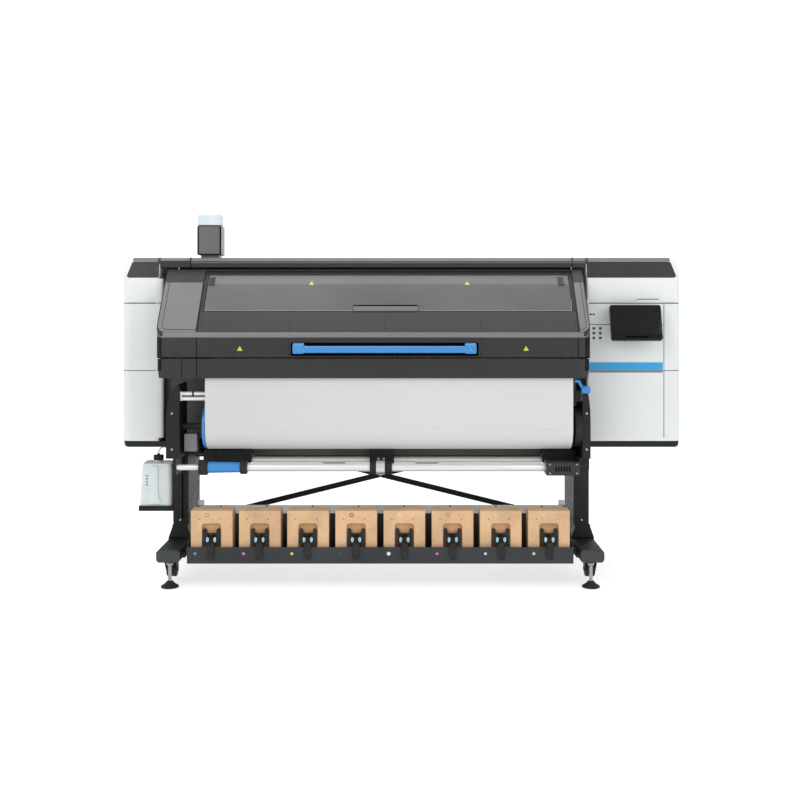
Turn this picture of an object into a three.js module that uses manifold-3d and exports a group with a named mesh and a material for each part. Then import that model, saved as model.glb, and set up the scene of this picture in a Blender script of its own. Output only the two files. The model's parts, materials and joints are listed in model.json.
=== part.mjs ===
// Wide-format roll printer and cutter: a wheeled stand, two end pods joined by a printing section
// with a hinged front cover, a media roll, a take-up bar, an ink rack and a waste bottle.
// Millimetres, +Z up, the operator's side at -Y, origin on the floor under the middle.

import * as THREE from 'three';
import { mergeVertices } from 'three/addons/utils/BufferGeometryUtils.js';
import Module from 'manifold-3d';

const wasm = await Module();
wasm.setup();

// ---- Driving dimensions ------------------------------------------------------------------

const GAP = 0.3;                     // clearance between pieces that touch
const WALL = 4;                      // moulded and folded panels

const HALF_WIDTH = 1291.5;           // overall width is twice this
const LEFT_POD_INNER = -1119;        // inner side face of the left pod
const RIGHT_POD_INNER = 855;         // inner side face of the right pod
const POD_FRONT = -140;
const POD_REAR = 330;
const POD_CORNER = 40;               // radius of the machine's outer vertical edges
const POD_INNER_CORNER = 12;         // radius of the pods' edges beside the cover

const BASE_BOTTOM = 584;
const BASE_TOP = 612;
const POD_TOP = 1246;
const LID_SHOULDER = 1361;
const LID_BAND_TOP = 1442;
const BODY_TOP = 1458;

const COVER_LEFT = -1084;
const COVER_RIGHT = 836;
const COVER_FRONT = -385;
const COVER_BOTTOM = 1007;
const COVER_HINGE = [-114, 1404];    // y, z of the front cover's hinge line
const COVER_CORNER = 45;             // radius of the cover's front corners, seen from above
const COVER_END = 12;                // thickness of the cover's end walls
const PANEL_RECESS = 9;              // how far the middle of the cover lies below its end panels
const PANEL_LEFT = -905;
const PANEL_RIGHT = 785;
const WINDOW_LEFT = -887;
const WINDOW_RIGHT = 768;

const FASCIA_BOTTOM = 919;
const PLATEN_TOP = 997;

const MEDIA_LEFT = -867;             // 64 inch media
const MEDIA_RIGHT = 758;
const ROLL_AXIS = [-266, 695];       // y, z
const ROLL_RADIUS = 101.7;
const CORE_RADIUS = 38;
const WEB_THICKNESS = 1;

const TAKE_UP_AXIS = [-330, 519];    // y, z
const DIVERTER_AXIS = [-200, 535];

const LEFT_FOOT_X = -1018;
const RIGHT_FOOT_X = 833;
const FOOT_BEAM_WIDTH = 105;
const FOOT_BEAM_HALF_LENGTH = 426;
const FOOT_BEAM_BOTTOM = 117;
const FOOT_BEAM_TOP = 172;
const PLATE_BOTTOM = FOOT_BEAM_BOTTOM - 5;
const LEVELLER_Y = 385;
const CASTER_Y = 280;
const CASTER_OFFSET = 14;            // how far outside its foot beam's middle a caster sits
const CASTER_TRAIL = 18;
const WHEEL_RADIUS = 36;
const WHEEL_AXLE_Z = 54;

const LEFT_COLUMN = [-1048, -978];   // x of its outer and inner faces
const RIGHT_COLUMN = [791, 861];
const COLUMN_FRONT = -168;
const COLUMN_REAR = 120;
const COLUMN_FOOT = 231;

const TRAY_LEFT = -940;
const TRAY_RIGHT = 754;
const TRAY_FRONT = -405;
const TRAY_REAR = -124;
const TRAY_BOTTOM = 108;
const INK_BOXES = 8;
const INK_BOX_PITCH = 212;
const INK_BOX_WIDTH = 183;
const FIRST_INK_BOX_X = -835;
const INK_BOX_TOP = 336;

// ---- Finishes ----------------------------------------------------------------------------

function finish(color, roughness, metalness = 0) {
  return new THREE.MeshStandardMaterial({ color, roughness, metalness });
}

const PANEL_WHITE = finish(0xe1e4e4, 0.45);
const TRIM_DARK = finish(0x3e3c3f, 0.5);
const COVER_GREY = finish(0x969696, 0.5);
const FRAME_BLACK = finish(0x2d2d2d, 0.6, 0.3);
const BEAM_GREY = finish(0x464b4e, 0.6, 0.3);
const HANDLE_BLUE = finish(0x5aa5e6, 0.4);
const BRIGHT_METAL = finish(0xb4b6b8, 0.25, 0.9);
const RUBBER_BLACK = finish(0x1a1a1a, 0.8);
const SMOKED_CLEAR = finish(0xa0a0a0, 0.15);
const CARDBOARD = finish(0xdcaf82, 0.85);
const MEDIA_WHITE = finish(0xd9d9d9, 0.6);
const MILKY_PLASTIC = finish(0xdfe4e2, 0.4);
const DISPLAY_BLACK = finish(0x141416, 0.2);

// ---- Solid modelling helpers -------------------------------------------------------------

function toSolid(geometry) {
  const bare = geometry.clone();
  bare.deleteAttribute('normal');
  bare.deleteAttribute('uv');
  const merged = mergeVertices(bare, 1e-4);
  return new wasm.Manifold(new wasm.Mesh({
    numProp: 3,
    vertProperties: new Float32Array(merged.attributes.position.array),
    triVerts: new Uint32Array(merged.index.array),
  }));
}

function toGeometry(solid) {
  const mesh = solid.getMesh();
  const geometry = new THREE.BufferGeometry();
  geometry.setAttribute('position', new THREE.BufferAttribute(mesh.vertProperties, 3));
  geometry.setIndex(new THREE.BufferAttribute(mesh.triVerts, 1));
  geometry.computeVertexNormals();
  return geometry;
}

function union(...solids) {
  return solids.reduce((whole, solid) => whole.add(solid));
}

function outline(points) {
  return new THREE.Shape(points.map(([a, b]) => new THREE.Vector2(a, b)));
}

function circle(a, b, radius) {
  return new THREE.Shape().absarc(a, b, radius, 0, 2 * Math.PI, false);
}

function roundedRect(a0, a1, b0, b1, radius) {
  const quarter = Math.PI / 2;
  const shape = new THREE.Shape();
  shape.absarc(a1 - radius, b0 + radius, radius, -quarter, 0, false);
  shape.absarc(a1 - radius, b1 - radius, radius, 0, quarter, false);
  shape.absarc(a0 + radius, b1 - radius, radius, quarter, 2 * quarter, false);
  shape.absarc(a0 + radius, b0 + radius, radius, 2 * quarter, 3 * quarter, false);
  return shape;
}

// Moves a chain of points sideways by a distance, keeping its stretches parallel.
function shifted(points, distance) {
  const normals = points.slice(1).map((point, index) => {
    const [da, db] = [point[0] - points[index][0], point[1] - points[index][1]];
    const length = Math.hypot(da, db);
    return [-db / length, da / length];
  });
  return points.map(([a, b], index) => {
    const before = normals[Math.max(0, index - 1)];
    const after = normals[Math.min(normals.length - 1, index)];
    const scale = distance / (1 + before[0] * after[0] + before[1] * after[1]);
    return [a + (before[0] + after[0]) * scale, b + (before[1] + after[1]) * scale];
  });
}

// A shape drawn in (y, z), (x, z) or (x, y) and extruded along x, y or z.
const DRAWN_AXES = {
  x: [new THREE.Vector3(0, 1, 0), new THREE.Vector3(0, 0, 1), new THREE.Vector3(1, 0, 0)],
  y: [new THREE.Vector3(1, 0, 0), new THREE.Vector3(0, 0, 1), new THREE.Vector3(0, -1, 0)],
  z: [new THREE.Vector3(1, 0, 0), new THREE.Vector3(0, 1, 0), new THREE.Vector3(0, 0, 1)],
};

function prism(axis, shape, low, high, curveSegments = 4) {
  const settings = { depth: high - low, bevelEnabled: false, curveSegments };
  const geometry = new THREE.ExtrudeGeometry(shape, settings);
  geometry.applyMatrix4(new THREE.Matrix4().makeBasis(...DRAWN_AXES[axis]));
  const shift = { x: [low, 0, 0], y: [0, high, 0], z: [0, 0, low] }[axis];
  geometry.translate(...shift);
  return toSolid(geometry);
}

function block(x0, x1, y0, y1, z0, z1) {
  const geometry = new THREE.BoxGeometry(x1 - x0, y1 - y0, z1 - z0);
  geometry.translate((x0 + x1) / 2, (y0 + y1) / 2, (z0 + z1) / 2);
  return toSolid(geometry);
}

function rod(axis, [a, b], radius, low, high, sides = 24) {
  return prism(axis, circle(a, b, radius), low, high, sides / 2);
}

function part(name, solid, material) {
  const mesh = new THREE.Mesh(toGeometry(solid), material);
  mesh.name = name;
  return mesh;
}

// ---- Stand -------------------------------------------------------------------------------

function footBeam(name, x) {
  const half = FOOT_BEAM_WIDTH / 2;
  const chamfer = 10;
  const section = outline([
    [chamfer - half, FOOT_BEAM_BOTTOM], [half - chamfer, FOOT_BEAM_BOTTOM],
    [half, FOOT_BEAM_BOTTOM + chamfer], [half, FOOT_BEAM_TOP - chamfer], [half - chamfer, FOOT_BEAM_TOP], [chamfer - half, FOOT_BEAM_TOP],
    [-half, FOOT_BEAM_TOP - chamfer], [-half, FOOT_BEAM_BOTTOM + chamfer],
  ]);
  const beam = prism('y', section, -FOOT_BEAM_HALF_LENGTH, FOOT_BEAM_HALF_LENGTH);
  const clear = half - chamfer - WALL;
  const hollow = block(-clear, clear, -415, 415, FOOT_BEAM_BOTTOM - 1, FOOT_BEAM_TOP - 14);
  const post = 35;
  const flare = prism('y', outline([
    [-half, FOOT_BEAM_TOP - chamfer], [half, FOOT_BEAM_TOP - chamfer], [half, FOOT_BEAM_TOP], [post, 221],
    [post, COLUMN_FOOT], [-post, COLUMN_FOOT], [-post, 221], [-half, FOOT_BEAM_TOP],
  ]), COLUMN_FRONT, -COLUMN_FRONT);
  const plates = [-1, 1].map((side) => (
    block(-half, half, side * CASTER_Y - 30, side * CASTER_Y + 30, PLATE_BOTTOM, FOOT_BEAM_BOTTOM + 4)));
  const solid = union(beam.subtract(hollow), flare, ...plates);
  const mesh = part(name, solid, FRAME_BLACK);
  mesh.position.x = x;
  return mesh;
}

function levellingFoot(name, x, y) {
  const padRadius = 39;
  const stemRadius = 8;
  const profile = [
    [0, 0], [padRadius, 0], [padRadius, 7], [24, 18], [15, 28], [stemRadius, 28],
    [stemRadius, 98], [14, 98], [14, 108], [stemRadius, 108], [stemRadius, 150], [0, 150],
  ].map(([radius, height]) => new THREE.Vector2(radius, height));
  const geometry = new THREE.LatheGeometry(profile, 16);
  geometry.rotateX(Math.PI / 2);
  const mesh = part(name, toSolid(geometry), RUBBER_BLACK);
  mesh.position.set(x, y, 0);
  return mesh;
}

function caster(corner, x, y) {
  const axle = [CASTER_TRAIL, WHEEL_AXLE_Z];
  const cheek = outline([
    [-24, PLATE_BOTTOM - 12], [-24, 82], [6, 44], [axle[0] + 12, 44], [axle[0] + 12, 66], [26, 84],
    [26, PLATE_BOTTOM - 12],
  ]);
  const crown = block(-26, 26, -24, 26, PLATE_BOTTOM - 16, PLATE_BOTTOM - 8);
  const bearing = rod('z', [0, 0], 22, PLATE_BOTTOM - 8, PLATE_BOTTOM - GAP);
  const axlePin = rod('x', axle, 5, -26, 26, 12);
  const fork = union(crown, bearing, axlePin, prism('x', cheek, -26, -22), prism('x', cheek, 22, 26));
  const tread = rod('x', axle, WHEEL_RADIUS, -21.7, 21.7);
  const wheel = tread.subtract(rod('x', axle, 5 + GAP, -30, 30, 12));
  const group = new THREE.Group();
  group.position.set(x, y, 0);
  group.add(part(`caster_fork_${corner}`, fork, FRAME_BLACK));
  group.add(part(`caster_wheel_${corner}`, wheel, RUBBER_BLACK));
  return group;
}

// The media arm curves out and forward from the column to carry the roll's spindle.
function mediaArm(inner, outer, side) {
  const top = 888;
  const bottom = 559;
  const shape = new THREE.Shape();
  shape.moveTo(inner, bottom);
  shape.lineTo(outer, bottom);
  shape.lineTo(outer, 716);
  shape.quadraticCurveTo(outer, 850, inner + side * 8, top);
  shape.lineTo(inner, top);
  return prism('y', shape, -345, COLUMN_FRONT);
}

function column(name, [xa, xb], arm) {
  const [low, high] = [Math.min(xa, xb), Math.max(xa, xb)];
  const bottom = COLUMN_FOOT + GAP;
  const top = BASE_BOTTOM - GAP;
  const post = block(low, high, COLUMN_FRONT, COLUMN_REAR, bottom, top);
  const inside = [low + WALL, high - WALL, COLUMN_FRONT + WALL, COLUMN_REAR - WALL];
  const hollow = block(...inside, bottom - 1, top + 1);
  const bracket = block(arm.bracket[0], arm.bracket[1], -345, COLUMN_FRONT - 8, 485, 562);
  const upright = block(low, high, COLUMN_FRONT - 10, COLUMN_FRONT + 3, 485, top);
  return part(name, union(post.subtract(hollow), upright, bracket, arm.solid), FRAME_BLACK);
}

function rearCrossBeam() {
  const [left, right] = [LEFT_COLUMN[1] + GAP, RIGHT_COLUMN[0] - GAP];
  const tube = block(left, right, 20, 80, 517, 575);
  return part('rear_cross_beam', tube.subtract(block(left - 1, right + 1, 24, 76, 521, 571)), FRAME_BLACK);
}

// Two flat straps that cross on a rivet between the foot of each column and the rear beam.
function crossBrace() {
  const centre = { x: -100, z: 433 };
  const slope = 0.246;
  const [lower, upper, half] = [870, 555, 13];
  const strap = (side) => prism('y', outline([
    [centre.x + side * lower, centre.z - slope * lower - half],
    [centre.x + side * lower, centre.z - slope * lower + half],
    [centre.x - side * upper, centre.z + slope * upper + half],
    [centre.x - side * upper, centre.z + slope * upper - half],
  ]), 15, 20 - GAP);
  return part('cross_brace', union(strap(1), strap(-1)), FRAME_BLACK);
}

function frontCrossBeam() {
  const [left, right] = [LEFT_COLUMN[1] + GAP, RIGHT_COLUMN[0] - GAP];
  const beam = block(left, right, -158, -120, 549, BASE_BOTTOM - GAP);
  const clampHousings = [[-897, -682], [640, 788]].map(([x0, x1]) => (
    block(x0, x1, -235, -140, 525, BASE_BOTTOM - GAP)));
  return part('front_cross_beam', union(beam, ...clampHousings), BEAM_GREY);
}

// ---- Ink rack and waste bottle -----------------------------------------------------------

function inkTray() {
  const floor = block(TRAY_LEFT, TRAY_RIGHT, TRAY_FRONT, TRAY_REAR, TRAY_BOTTOM, TRAY_BOTTOM + 6);
  const lip = block(TRAY_LEFT, TRAY_RIGHT, TRAY_FRONT, TRAY_FRONT + WALL, TRAY_BOTTOM, 180);
  const rearTop = 314;
  const earWidth = 28;
  const rearPanel = block(TRAY_LEFT, TRAY_RIGHT, TRAY_REAR - WALL, TRAY_REAR, TRAY_BOTTOM, rearTop);
  const ears = [TRAY_LEFT, TRAY_RIGHT - earWidth].map((x) => (
    block(x, x + earWidth, TRAY_REAR - WALL, TRAY_REAR, rearTop - 1, 338)));
  const side = outline([
    [TRAY_FRONT, TRAY_BOTTOM], [TRAY_REAR, TRAY_BOTTOM], [TRAY_REAR, rearTop], [TRAY_REAR - 50, rearTop],
    [TRAY_FRONT, 180],
  ]);
  const sides = [TRAY_LEFT, TRAY_RIGHT - WALL].map((x) => prism('x', side, x, x + WALL));
  const half = FOOT_BEAM_WIDTH / 2;
  const tabs = [
    block(LEFT_FOOT_X + half + GAP, TRAY_LEFT + 2, -320, -180, 130, 155),
    block(TRAY_RIGHT - 2, RIGHT_FOOT_X - half - GAP, -320, -180, 130, 155),
  ];
  return part('ink_tray', union(floor, lip, rearPanel, ...ears, ...sides, ...tabs), BEAM_GREY);
}

function inkBox(index) {
  const bottom = TRAY_BOTTOM + 6 + GAP;
  const front = TRAY_FRONT + 20;
  const half = INK_BOX_WIDTH / 2;
  const carton = block(-half, half, front, -290, bottom, INK_BOX_TOP);
  const archTop = 280;
  const archRadius = 14;
  const reach = 42;
  const arch = new THREE.Shape();
  arch.moveTo(-reach, bottom - 1);
  arch.lineTo(reach, bottom - 1);
  arch.absarc(reach - archRadius, archTop - archRadius, archRadius, 0, Math.PI / 2, false);
  arch.absarc(archRadius - reach, archTop - archRadius, archRadius, Math.PI / 2, Math.PI, false);
  const solid = carton.subtract(prism('y', arch, front - 1, front + 16));
  const mesh = part(`ink_box_${index + 1}`, solid, CARDBOARD);
  mesh.position.x = FIRST_INK_BOX_X + INK_BOX_PITCH * index;
  return mesh;
}

const BOTTLE = {
  left: -1208, right: -1055.5, front: -160, rear: -40, bottom: 316.8, shoulder: 498, top: 512,
};
const BOTTLE_NECK = [-1130, -100];

function bottleShelf() {
  const right = LEFT_COLUMN[0] - GAP;
  const plate = block(BOTTLE.left + 2, right, -172, -28, 294.5, BOTTLE.bottom - GAP);
  const flange = block(right - WALL, right, -150, -40, 240, 400);
  return part('bottle_shelf', union(plate, flange), FRAME_BLACK);
}

function wasteBottle() {
  const { left, right, front, rear, bottom, shoulder, top } = BOTTLE;
  const inset = 16;
  const middle = { depth: shoulder - bottom, bevelEnabled: false, curveSegments: 4 };
  const walls = new THREE.ExtrudeGeometry(roundedRect(left, right, front, rear, 24), middle);
  walls.translate(0, 0, bottom);
  const crown = roundedRect(left + inset, right - inset, front + inset, rear - inset, 8);
  const dome = new THREE.ExtrudeGeometry(crown, {
    depth: 4,
    bevelEnabled: true,
    bevelSize: inset - 2,
    bevelThickness: 10,
    bevelSegments: 3,
    curveSegments: 4,
  });
  dome.translate(0, 0, shoulder);
  const taper = 18;
  const frontView = outline([
    [left, bottom], [right, bottom], [right, top + 1], [left + taper, top + 1],
  ]);
  const neck = rod('z', BOTTLE_NECK, 19, shoulder, top + 8);
  const body = union(toSolid(walls), toSolid(dome)).intersect(prism('y', frontView, front - 1, rear + 1));
  return part('waste_bottle', union(body, neck), MILKY_PLASTIC);
}

function bottleCap() {
  const bottom = BOTTLE.top + 8 + GAP;
  const grips = 8;
  const shape = new THREE.Shape();
  for (let step = 0; step < grips * 6; step += 1) {
    const angle = (step / (grips * 6)) * 2 * Math.PI;
    const radius = 22.5 + 1.5 * Math.cos(grips * angle);
    const point = [BOTTLE_NECK[0] + radius * Math.cos(angle), BOTTLE_NECK[1] + radius * Math.sin(angle)];
    if (step === 0) shape.moveTo(...point);
    else shape.lineTo(...point);
  }
  const grip = prism('z', shape, bottom, bottom + 22);
  const spout = rod('z', BOTTLE_NECK, 6, bottom + 22, bottom + 30, 12);
  return part('bottle_cap', union(grip, spout), RUBBER_BLACK);
}

const HOSE_RADIUS = 3;
const HOSE_BEND = 26;
const HOSE_START = [...BOTTLE_NECK, 550.6];
const HOSE_TOP = 579;

// The hose rises from the cap, turns through a quarter circle and runs level to the column.
function drainHose() {
  const [x, y, z] = HOSE_START;
  const bendCentre = [x + HOSE_BEND, HOSE_TOP - HOSE_BEND];
  const path = new THREE.CurvePath();
  const steps = 8;
  const points = [new THREE.Vector3(x, y, z)];
  for (let step = 0; step <= steps; step += 1) {
    const angle = (step / steps) * (Math.PI / 2);
    points.push(new THREE.Vector3(
      bendCentre[0] - HOSE_BEND * Math.cos(angle), y, bendCentre[1] + HOSE_BEND * Math.sin(angle),
    ));
  }
  points.push(new THREE.Vector3(LEFT_COLUMN[0] - GAP, y, HOSE_TOP));
  points.slice(1).forEach((point, index) => path.add(new THREE.LineCurve3(points[index], point)));
  const settings = { steps: 20, bevelEnabled: false, extrudePath: path, curveSegments: 4 };
  const hose = new THREE.ExtrudeGeometry(circle(0, 0, HOSE_RADIUS), settings);
  return part('drain_hose', toSolid(hose), MEDIA_WHITE);
}

// ---- Body --------------------------------------------------------------------------------

function baseFrame() {
  const edge = 3;
  const rim = 6;
  const plan = (inset) => roundedRect(
    inset - HALF_WIDTH, HALF_WIDTH - inset, POD_FRONT + inset, POD_REAR - inset, POD_CORNER - inset,
  );
  const top = BASE_TOP - GAP;
  const well = prism('z', plan(edge + rim), BASE_BOTTOM + WALL, top + 1);
  const sweep = 24;
  const span = HALF_WIDTH - edge;
  const frontView = roundedRect(-span, span, BASE_BOTTOM, top + 2 * sweep, sweep);
  const pan = prism('z', plan(edge), BASE_BOTTOM, top).intersect(prism('y', frontView, POD_FRONT, POD_REAR));
  return part('base_frame', pan.subtract(well), FRAME_BLACK);
}

function chassisBeam() {
  const [left, right] = [LEFT_POD_INNER + GAP, RIGHT_POD_INNER - GAP];
  const top = PLATEN_TOP - 12 - GAP;
  const tube = block(left, right, -60, 260, BASE_TOP, top);
  return part('chassis_beam', tube.subtract(block(left - 1, right + 1, -54, 254, 630, top - 6)), BEAM_GREY);
}

// A pod seen from above, drawn in by a margin: wide curves outside, tight ones beside the cover.
function podPlan(side, margin) {
  const inner = side < 0 ? LEFT_POD_INNER : RIGHT_POD_INNER;
  const [front, rear] = [POD_FRONT + margin, POD_REAR - margin];
  const wide = POD_CORNER - margin;
  const tight = Math.max(2, POD_INNER_CORNER - margin);
  const outer = HALF_WIDTH - margin;
  const near = Math.abs(inner) + margin;
  const shape = new THREE.Shape();
  shape.absarc(outer - wide, front + wide, wide, -Math.PI / 2, 0, false);
  shape.absarc(outer - wide, rear - wide, wide, 0, Math.PI / 2, false);
  shape.absarc(near + tight, rear - tight, tight, Math.PI / 2, Math.PI, false);
  shape.absarc(near + tight, front + tight, tight, Math.PI, 1.5 * Math.PI, false);
  if (side > 0) return shape;
  return outline(shape.getPoints(4).map((point) => [-point.x, point.y]).reverse());
}

// A pod's side walls: open above for the lid and below onto the base frame.
function podWalls(side) {
  const inside = prism('z', podPlan(side, WALL), BASE_TOP - 1, POD_TOP + 1);
  return prism('z', podPlan(side, 0), BASE_TOP, POD_TOP).subtract(inside);
}

function leftPod() {
  return part('left_pod', podWalls(-1), PANEL_WHITE);
}

// The right pod is open towards the printing section, so the carriage can park inside it.
function rightPod() {
  const inset = POD_INNER_CORNER + 2;
  const carriageDoor = block(
    RIGHT_POD_INNER - 1, RIGHT_POD_INNER + WALL + 1, POD_FRONT + inset, POD_REAR - inset, 1002, POD_TOP + 1,
  );
  return part('right_pod', podWalls(1).subtract(carriageDoor), PANEL_WHITE);
}

function podLid(name, outer, inner) {
  const side = Math.sign(outer);
  const bottom = POD_TOP + GAP;
  const crossSection = outline([
    [POD_FRONT + 5, bottom], [POD_REAR, bottom], [POD_REAR, BODY_TOP], [-104, BODY_TOP], [-122, LID_BAND_TOP],
    [POD_FRONT, LID_SHOULDER], [POD_FRONT, 1278],
  ]);
  const frontView = outline([
    [outer - side * 5, bottom], [outer, 1278], [outer, LID_SHOULDER], [outer - side * 26, BODY_TOP],
    [inner, BODY_TOP], [inner, bottom],
  ]);
  const [low, high] = [Math.min(outer, inner), Math.max(outer, inner)];
  const solid = prism('x', crossSection, low - 1, high + 1)
    .intersect(prism('y', frontView, POD_FRONT - 1, POD_REAR + 1))
    .intersect(prism('z', podPlan(side, 0), bottom - 1, BODY_TOP + 1));
  const hollow = prism('z', podPlan(side, 12), bottom - 1, LID_SHOULDER - 6);
  return part(name, solid.subtract(hollow), PANEL_WHITE);
}

// Centre section: the front band, the top and the back, folded from one sheet.
function rearCover() {
  const bottom = BASE_TOP;
  const shape = outline([
    [POD_REAR, bottom], [POD_REAR, BODY_TOP], [-104, BODY_TOP], [-122, LID_BAND_TOP], [-118, 1414],
    [-112, 1414], [-116, 1440], [-102, BODY_TOP - WALL], [POD_REAR - WALL, BODY_TOP - WALL],
    [POD_REAR - WALL, bottom],
  ]);
  return part('rear_cover', prism('x', shape, LEFT_POD_INNER + GAP, RIGHT_POD_INNER - GAP), TRIM_DARK);
}

// ---- Printing section --------------------------------------------------------------------

const SLOPE_KNEE = [-186, 1343];     // where the cover's two sloping faces meet
const SLOPE_FOOT = [-378, 1119];     // top of the cover's lip
const SLOPE_HEAD = [-114, 1407];

// The cover's outside line from the bottom of the fascia to the hinge, and the same line inside.
const COVER_OUTSIDE = [[COVER_FRONT, COVER_BOTTOM], [COVER_FRONT, 1098], SLOPE_FOOT, SLOPE_KNEE, SLOPE_HEAD];
const COVER_INSIDE = [[-101, 1392], [-171.7, 1329], [-361.5, 1107.5], [-365, 1096], [-365, COVER_BOTTOM]];

const WINDOW_FOOT = [-292, 1219.3];  // on the lower slope
const WINDOW_HEAD = [-140, 1384];    // on the upper slope

// A stretch of the cover's slopes between two depths below its outside line.
function slopeBand(start, finish, high, deep) {
  const line = [start, SLOPE_KNEE, finish];
  return outline([...shifted(line, -high), ...shifted(line, -deep).reverse()]);
}

// The plan that rounds the cover's front corners.
function coverPlan(bottom, top) {
  const shape = new THREE.Shape();
  const centre = COVER_FRONT + COVER_CORNER;
  shape.moveTo(COVER_RIGHT, 0);
  shape.lineTo(COVER_LEFT, 0);
  shape.absarc(COVER_LEFT + COVER_CORNER, centre, COVER_CORNER, Math.PI, 1.5 * Math.PI, false);
  shape.absarc(COVER_RIGHT - COVER_CORNER, centre, COVER_CORNER, 1.5 * Math.PI, 2 * Math.PI, false);
  return prism('z', shape, bottom, top, 5);
}

function frontCover() {
  const skin = prism('x', outline([...COVER_OUTSIDE, ...COVER_INSIDE]), COVER_LEFT, COVER_RIGHT);
  const end = outline([...COVER_OUTSIDE, [-110, 1385], [-140, 1300], [-140, 1130], [-300, COVER_BOTTOM]]);
  const ends = [
    prism('x', end, COVER_LEFT, COVER_LEFT + COVER_END),
    prism('x', end, COVER_RIGHT - COVER_END, COVER_RIGHT),
  ];
  const handleRecess = block(-486, 338, COVER_FRONT - 1, COVER_FRONT + 12, 1018, 1074);
  const margin = 2;
  const gapFoot = WINDOW_FOOT.map((value) => value - margin);
  const gapHead = WINDOW_HEAD.map((value) => value + margin);
  const gap = slopeBand(gapFoot, gapHead, -5, 60);
  const windowGap = prism('x', gap, WINDOW_LEFT - margin, WINDOW_RIGHT + margin);
  const recessed = slopeBand([-374, 1123.7], [-124, 1398.1], -5, PANEL_RECESS);
  const recess = prism('x', recessed, PANEL_LEFT, PANEL_RIGHT);
  const solid = union(skin, ...ends)
    .intersect(coverPlan(COVER_BOTTOM - 1, SLOPE_HEAD[1] + 1))
    .subtract(windowGap)
    .subtract(recess)
    .subtract(handleRecess);
  return part('front_cover', solid, COVER_GREY);
}

function frontHandle() {
  const [left, right] = [-476, 328];
  const [front, back] = [-FOOT_BEAM_HALF_LENGTH + 1, COVER_FRONT - 20];
  const bar = prism('x', roundedRect(front, back, 1031, 1062, 6), left, right);
  const stems = [left, right - 50].map((x) => block(x, x + 50, back - 4, COVER_FRONT + 12 - GAP, 1033, 1072));
  return part('front_handle', union(bar, ...stems), HANDLE_BLUE);
}

// The smoked window follows the two recessed slopes and swings up on its top edge.
function coverWindow() {
  const section = slopeBand(WINDOW_FOOT, WINDOW_HEAD, PANEL_RECESS, PANEL_RECESS + 5);
  const pane = prism('x', section, WINDOW_LEFT, WINDOW_RIGHT);
  const notch = block(-216, 75, -310, WINDOW_FOOT[0] + 18, 1200, 1240);
  return part('window', pane.subtract(notch), SMOKED_CLEAR);
}

// The fascia under the cover narrows slightly towards its foot.
function lowerFascia() {
  const top = COVER_BOTTOM - 3;
  const narrowing = 14;
  const cheekWidth = 10;
  const [left, right] = [COVER_LEFT + narrowing, COVER_RIGHT - narrowing];
  const frontView = outline([
    [left, FASCIA_BOTTOM], [right, FASCIA_BOTTOM], [COVER_RIGHT, top], [COVER_LEFT, top],
  ]);
  const side = outline([
    [COVER_FRONT + 1, FASCIA_BOTTOM], [-60 - GAP, FASCIA_BOTTOM], [-60 - GAP, 980], [-300, top],
    [COVER_FRONT + 1, top],
  ]);
  const cheeks = [left, right - cheekWidth].map((x) => prism('x', side, x, x + cheekWidth));
  const corners = [COVER_LEFT, COVER_RIGHT - 60].map((x) => (
    block(x, x + 60, COVER_FRONT, COVER_FRONT + 16, FASCIA_BOTTOM, top)));
  const front = block(COVER_LEFT, COVER_RIGHT, COVER_FRONT, COVER_FRONT + WALL, FASCIA_BOTTOM, top);
  const solid = union(front, ...cheeks, ...corners)
    .intersect(coverPlan(FASCIA_BOTTOM - 1, COVER_BOTTOM))
    .intersect(prism('y', frontView, COVER_FRONT - 1, 0));
  return part('lower_fascia', solid, COVER_GREY);
}

const WEB_BEND = { y: -333, z: 962.3, radius: 35 };

function platen() {
  const nose = WEB_BEND.radius - GAP;
  const { y, z } = WEB_BEND;
  const shape = new THREE.Shape();
  shape.moveTo(60, PLATEN_TOP);
  shape.lineTo(60, PLATEN_TOP - 12);
  shape.lineTo(y, PLATEN_TOP - 12);
  shape.lineTo(y - nose + 12, z);
  shape.lineTo(y - nose, z);
  shape.absarc(y, z, nose, Math.PI, Math.PI / 2, true);
  return part('platen', prism('x', shape, COVER_LEFT + 25, COVER_RIGHT - 25, 5), BRIGHT_METAL);
}

const PARKED_CARRIAGE_X = 980;
const CARRIAGE_WIDTH = 200;

function carriageRail() {
  const left = LEFT_POD_INNER + GAP;
  const right = HALF_WIDTH - WALL - GAP;
  return part('carriage_rail', block(left, right, 60, 110, 1120, 1190), BRIGHT_METAL);
}

function carriage() {
  const body = prism('x', outline([
    [-120, 1060], [-100, 1010], [40, 1010], [59.7, 1030], [59.7, 1190.3], [114, 1190.3], [114, 1205],
    [20, 1205], [-90, 1190], [-120, 1150],
  ]), 0, CARRIAGE_WIDTH);
  const mesh = part('carriage', body, TRIM_DARK);
  mesh.position.x = PARKED_CARRIAGE_X;
  return mesh;
}

// ---- Media path --------------------------------------------------------------------------

const SPINDLE_LEFT = -983.7;
const SPINDLE_RIGHT = 802.7;

function supplySpindle() {
  const axle = rod('x', ROLL_AXIS, 14, SPINDLE_LEFT, SPINDLE_RIGHT);
  const core = rod('x', ROLL_AXIS, CORE_RADIUS - GAP, -893, 773);
  const flange = rod('x', ROLL_AXIS, 95, -883, -869, 32);
  const hub = rod('x', ROLL_AXIS, 90, 773, SPINDLE_RIGHT, 32);
  return part('supply_spindle', union(axle, core, flange, hub), RUBBER_BLACK);
}

function mediaRoll() {
  const roll = rod('x', ROLL_AXIS, ROLL_RADIUS, MEDIA_LEFT, MEDIA_RIGHT, 48);
  const bore = rod('x', ROLL_AXIS, CORE_RADIUS, MEDIA_LEFT - 1, MEDIA_RIGHT + 1);
  return part('media_roll', roll.subtract(bore), MEDIA_WHITE);
}

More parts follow.
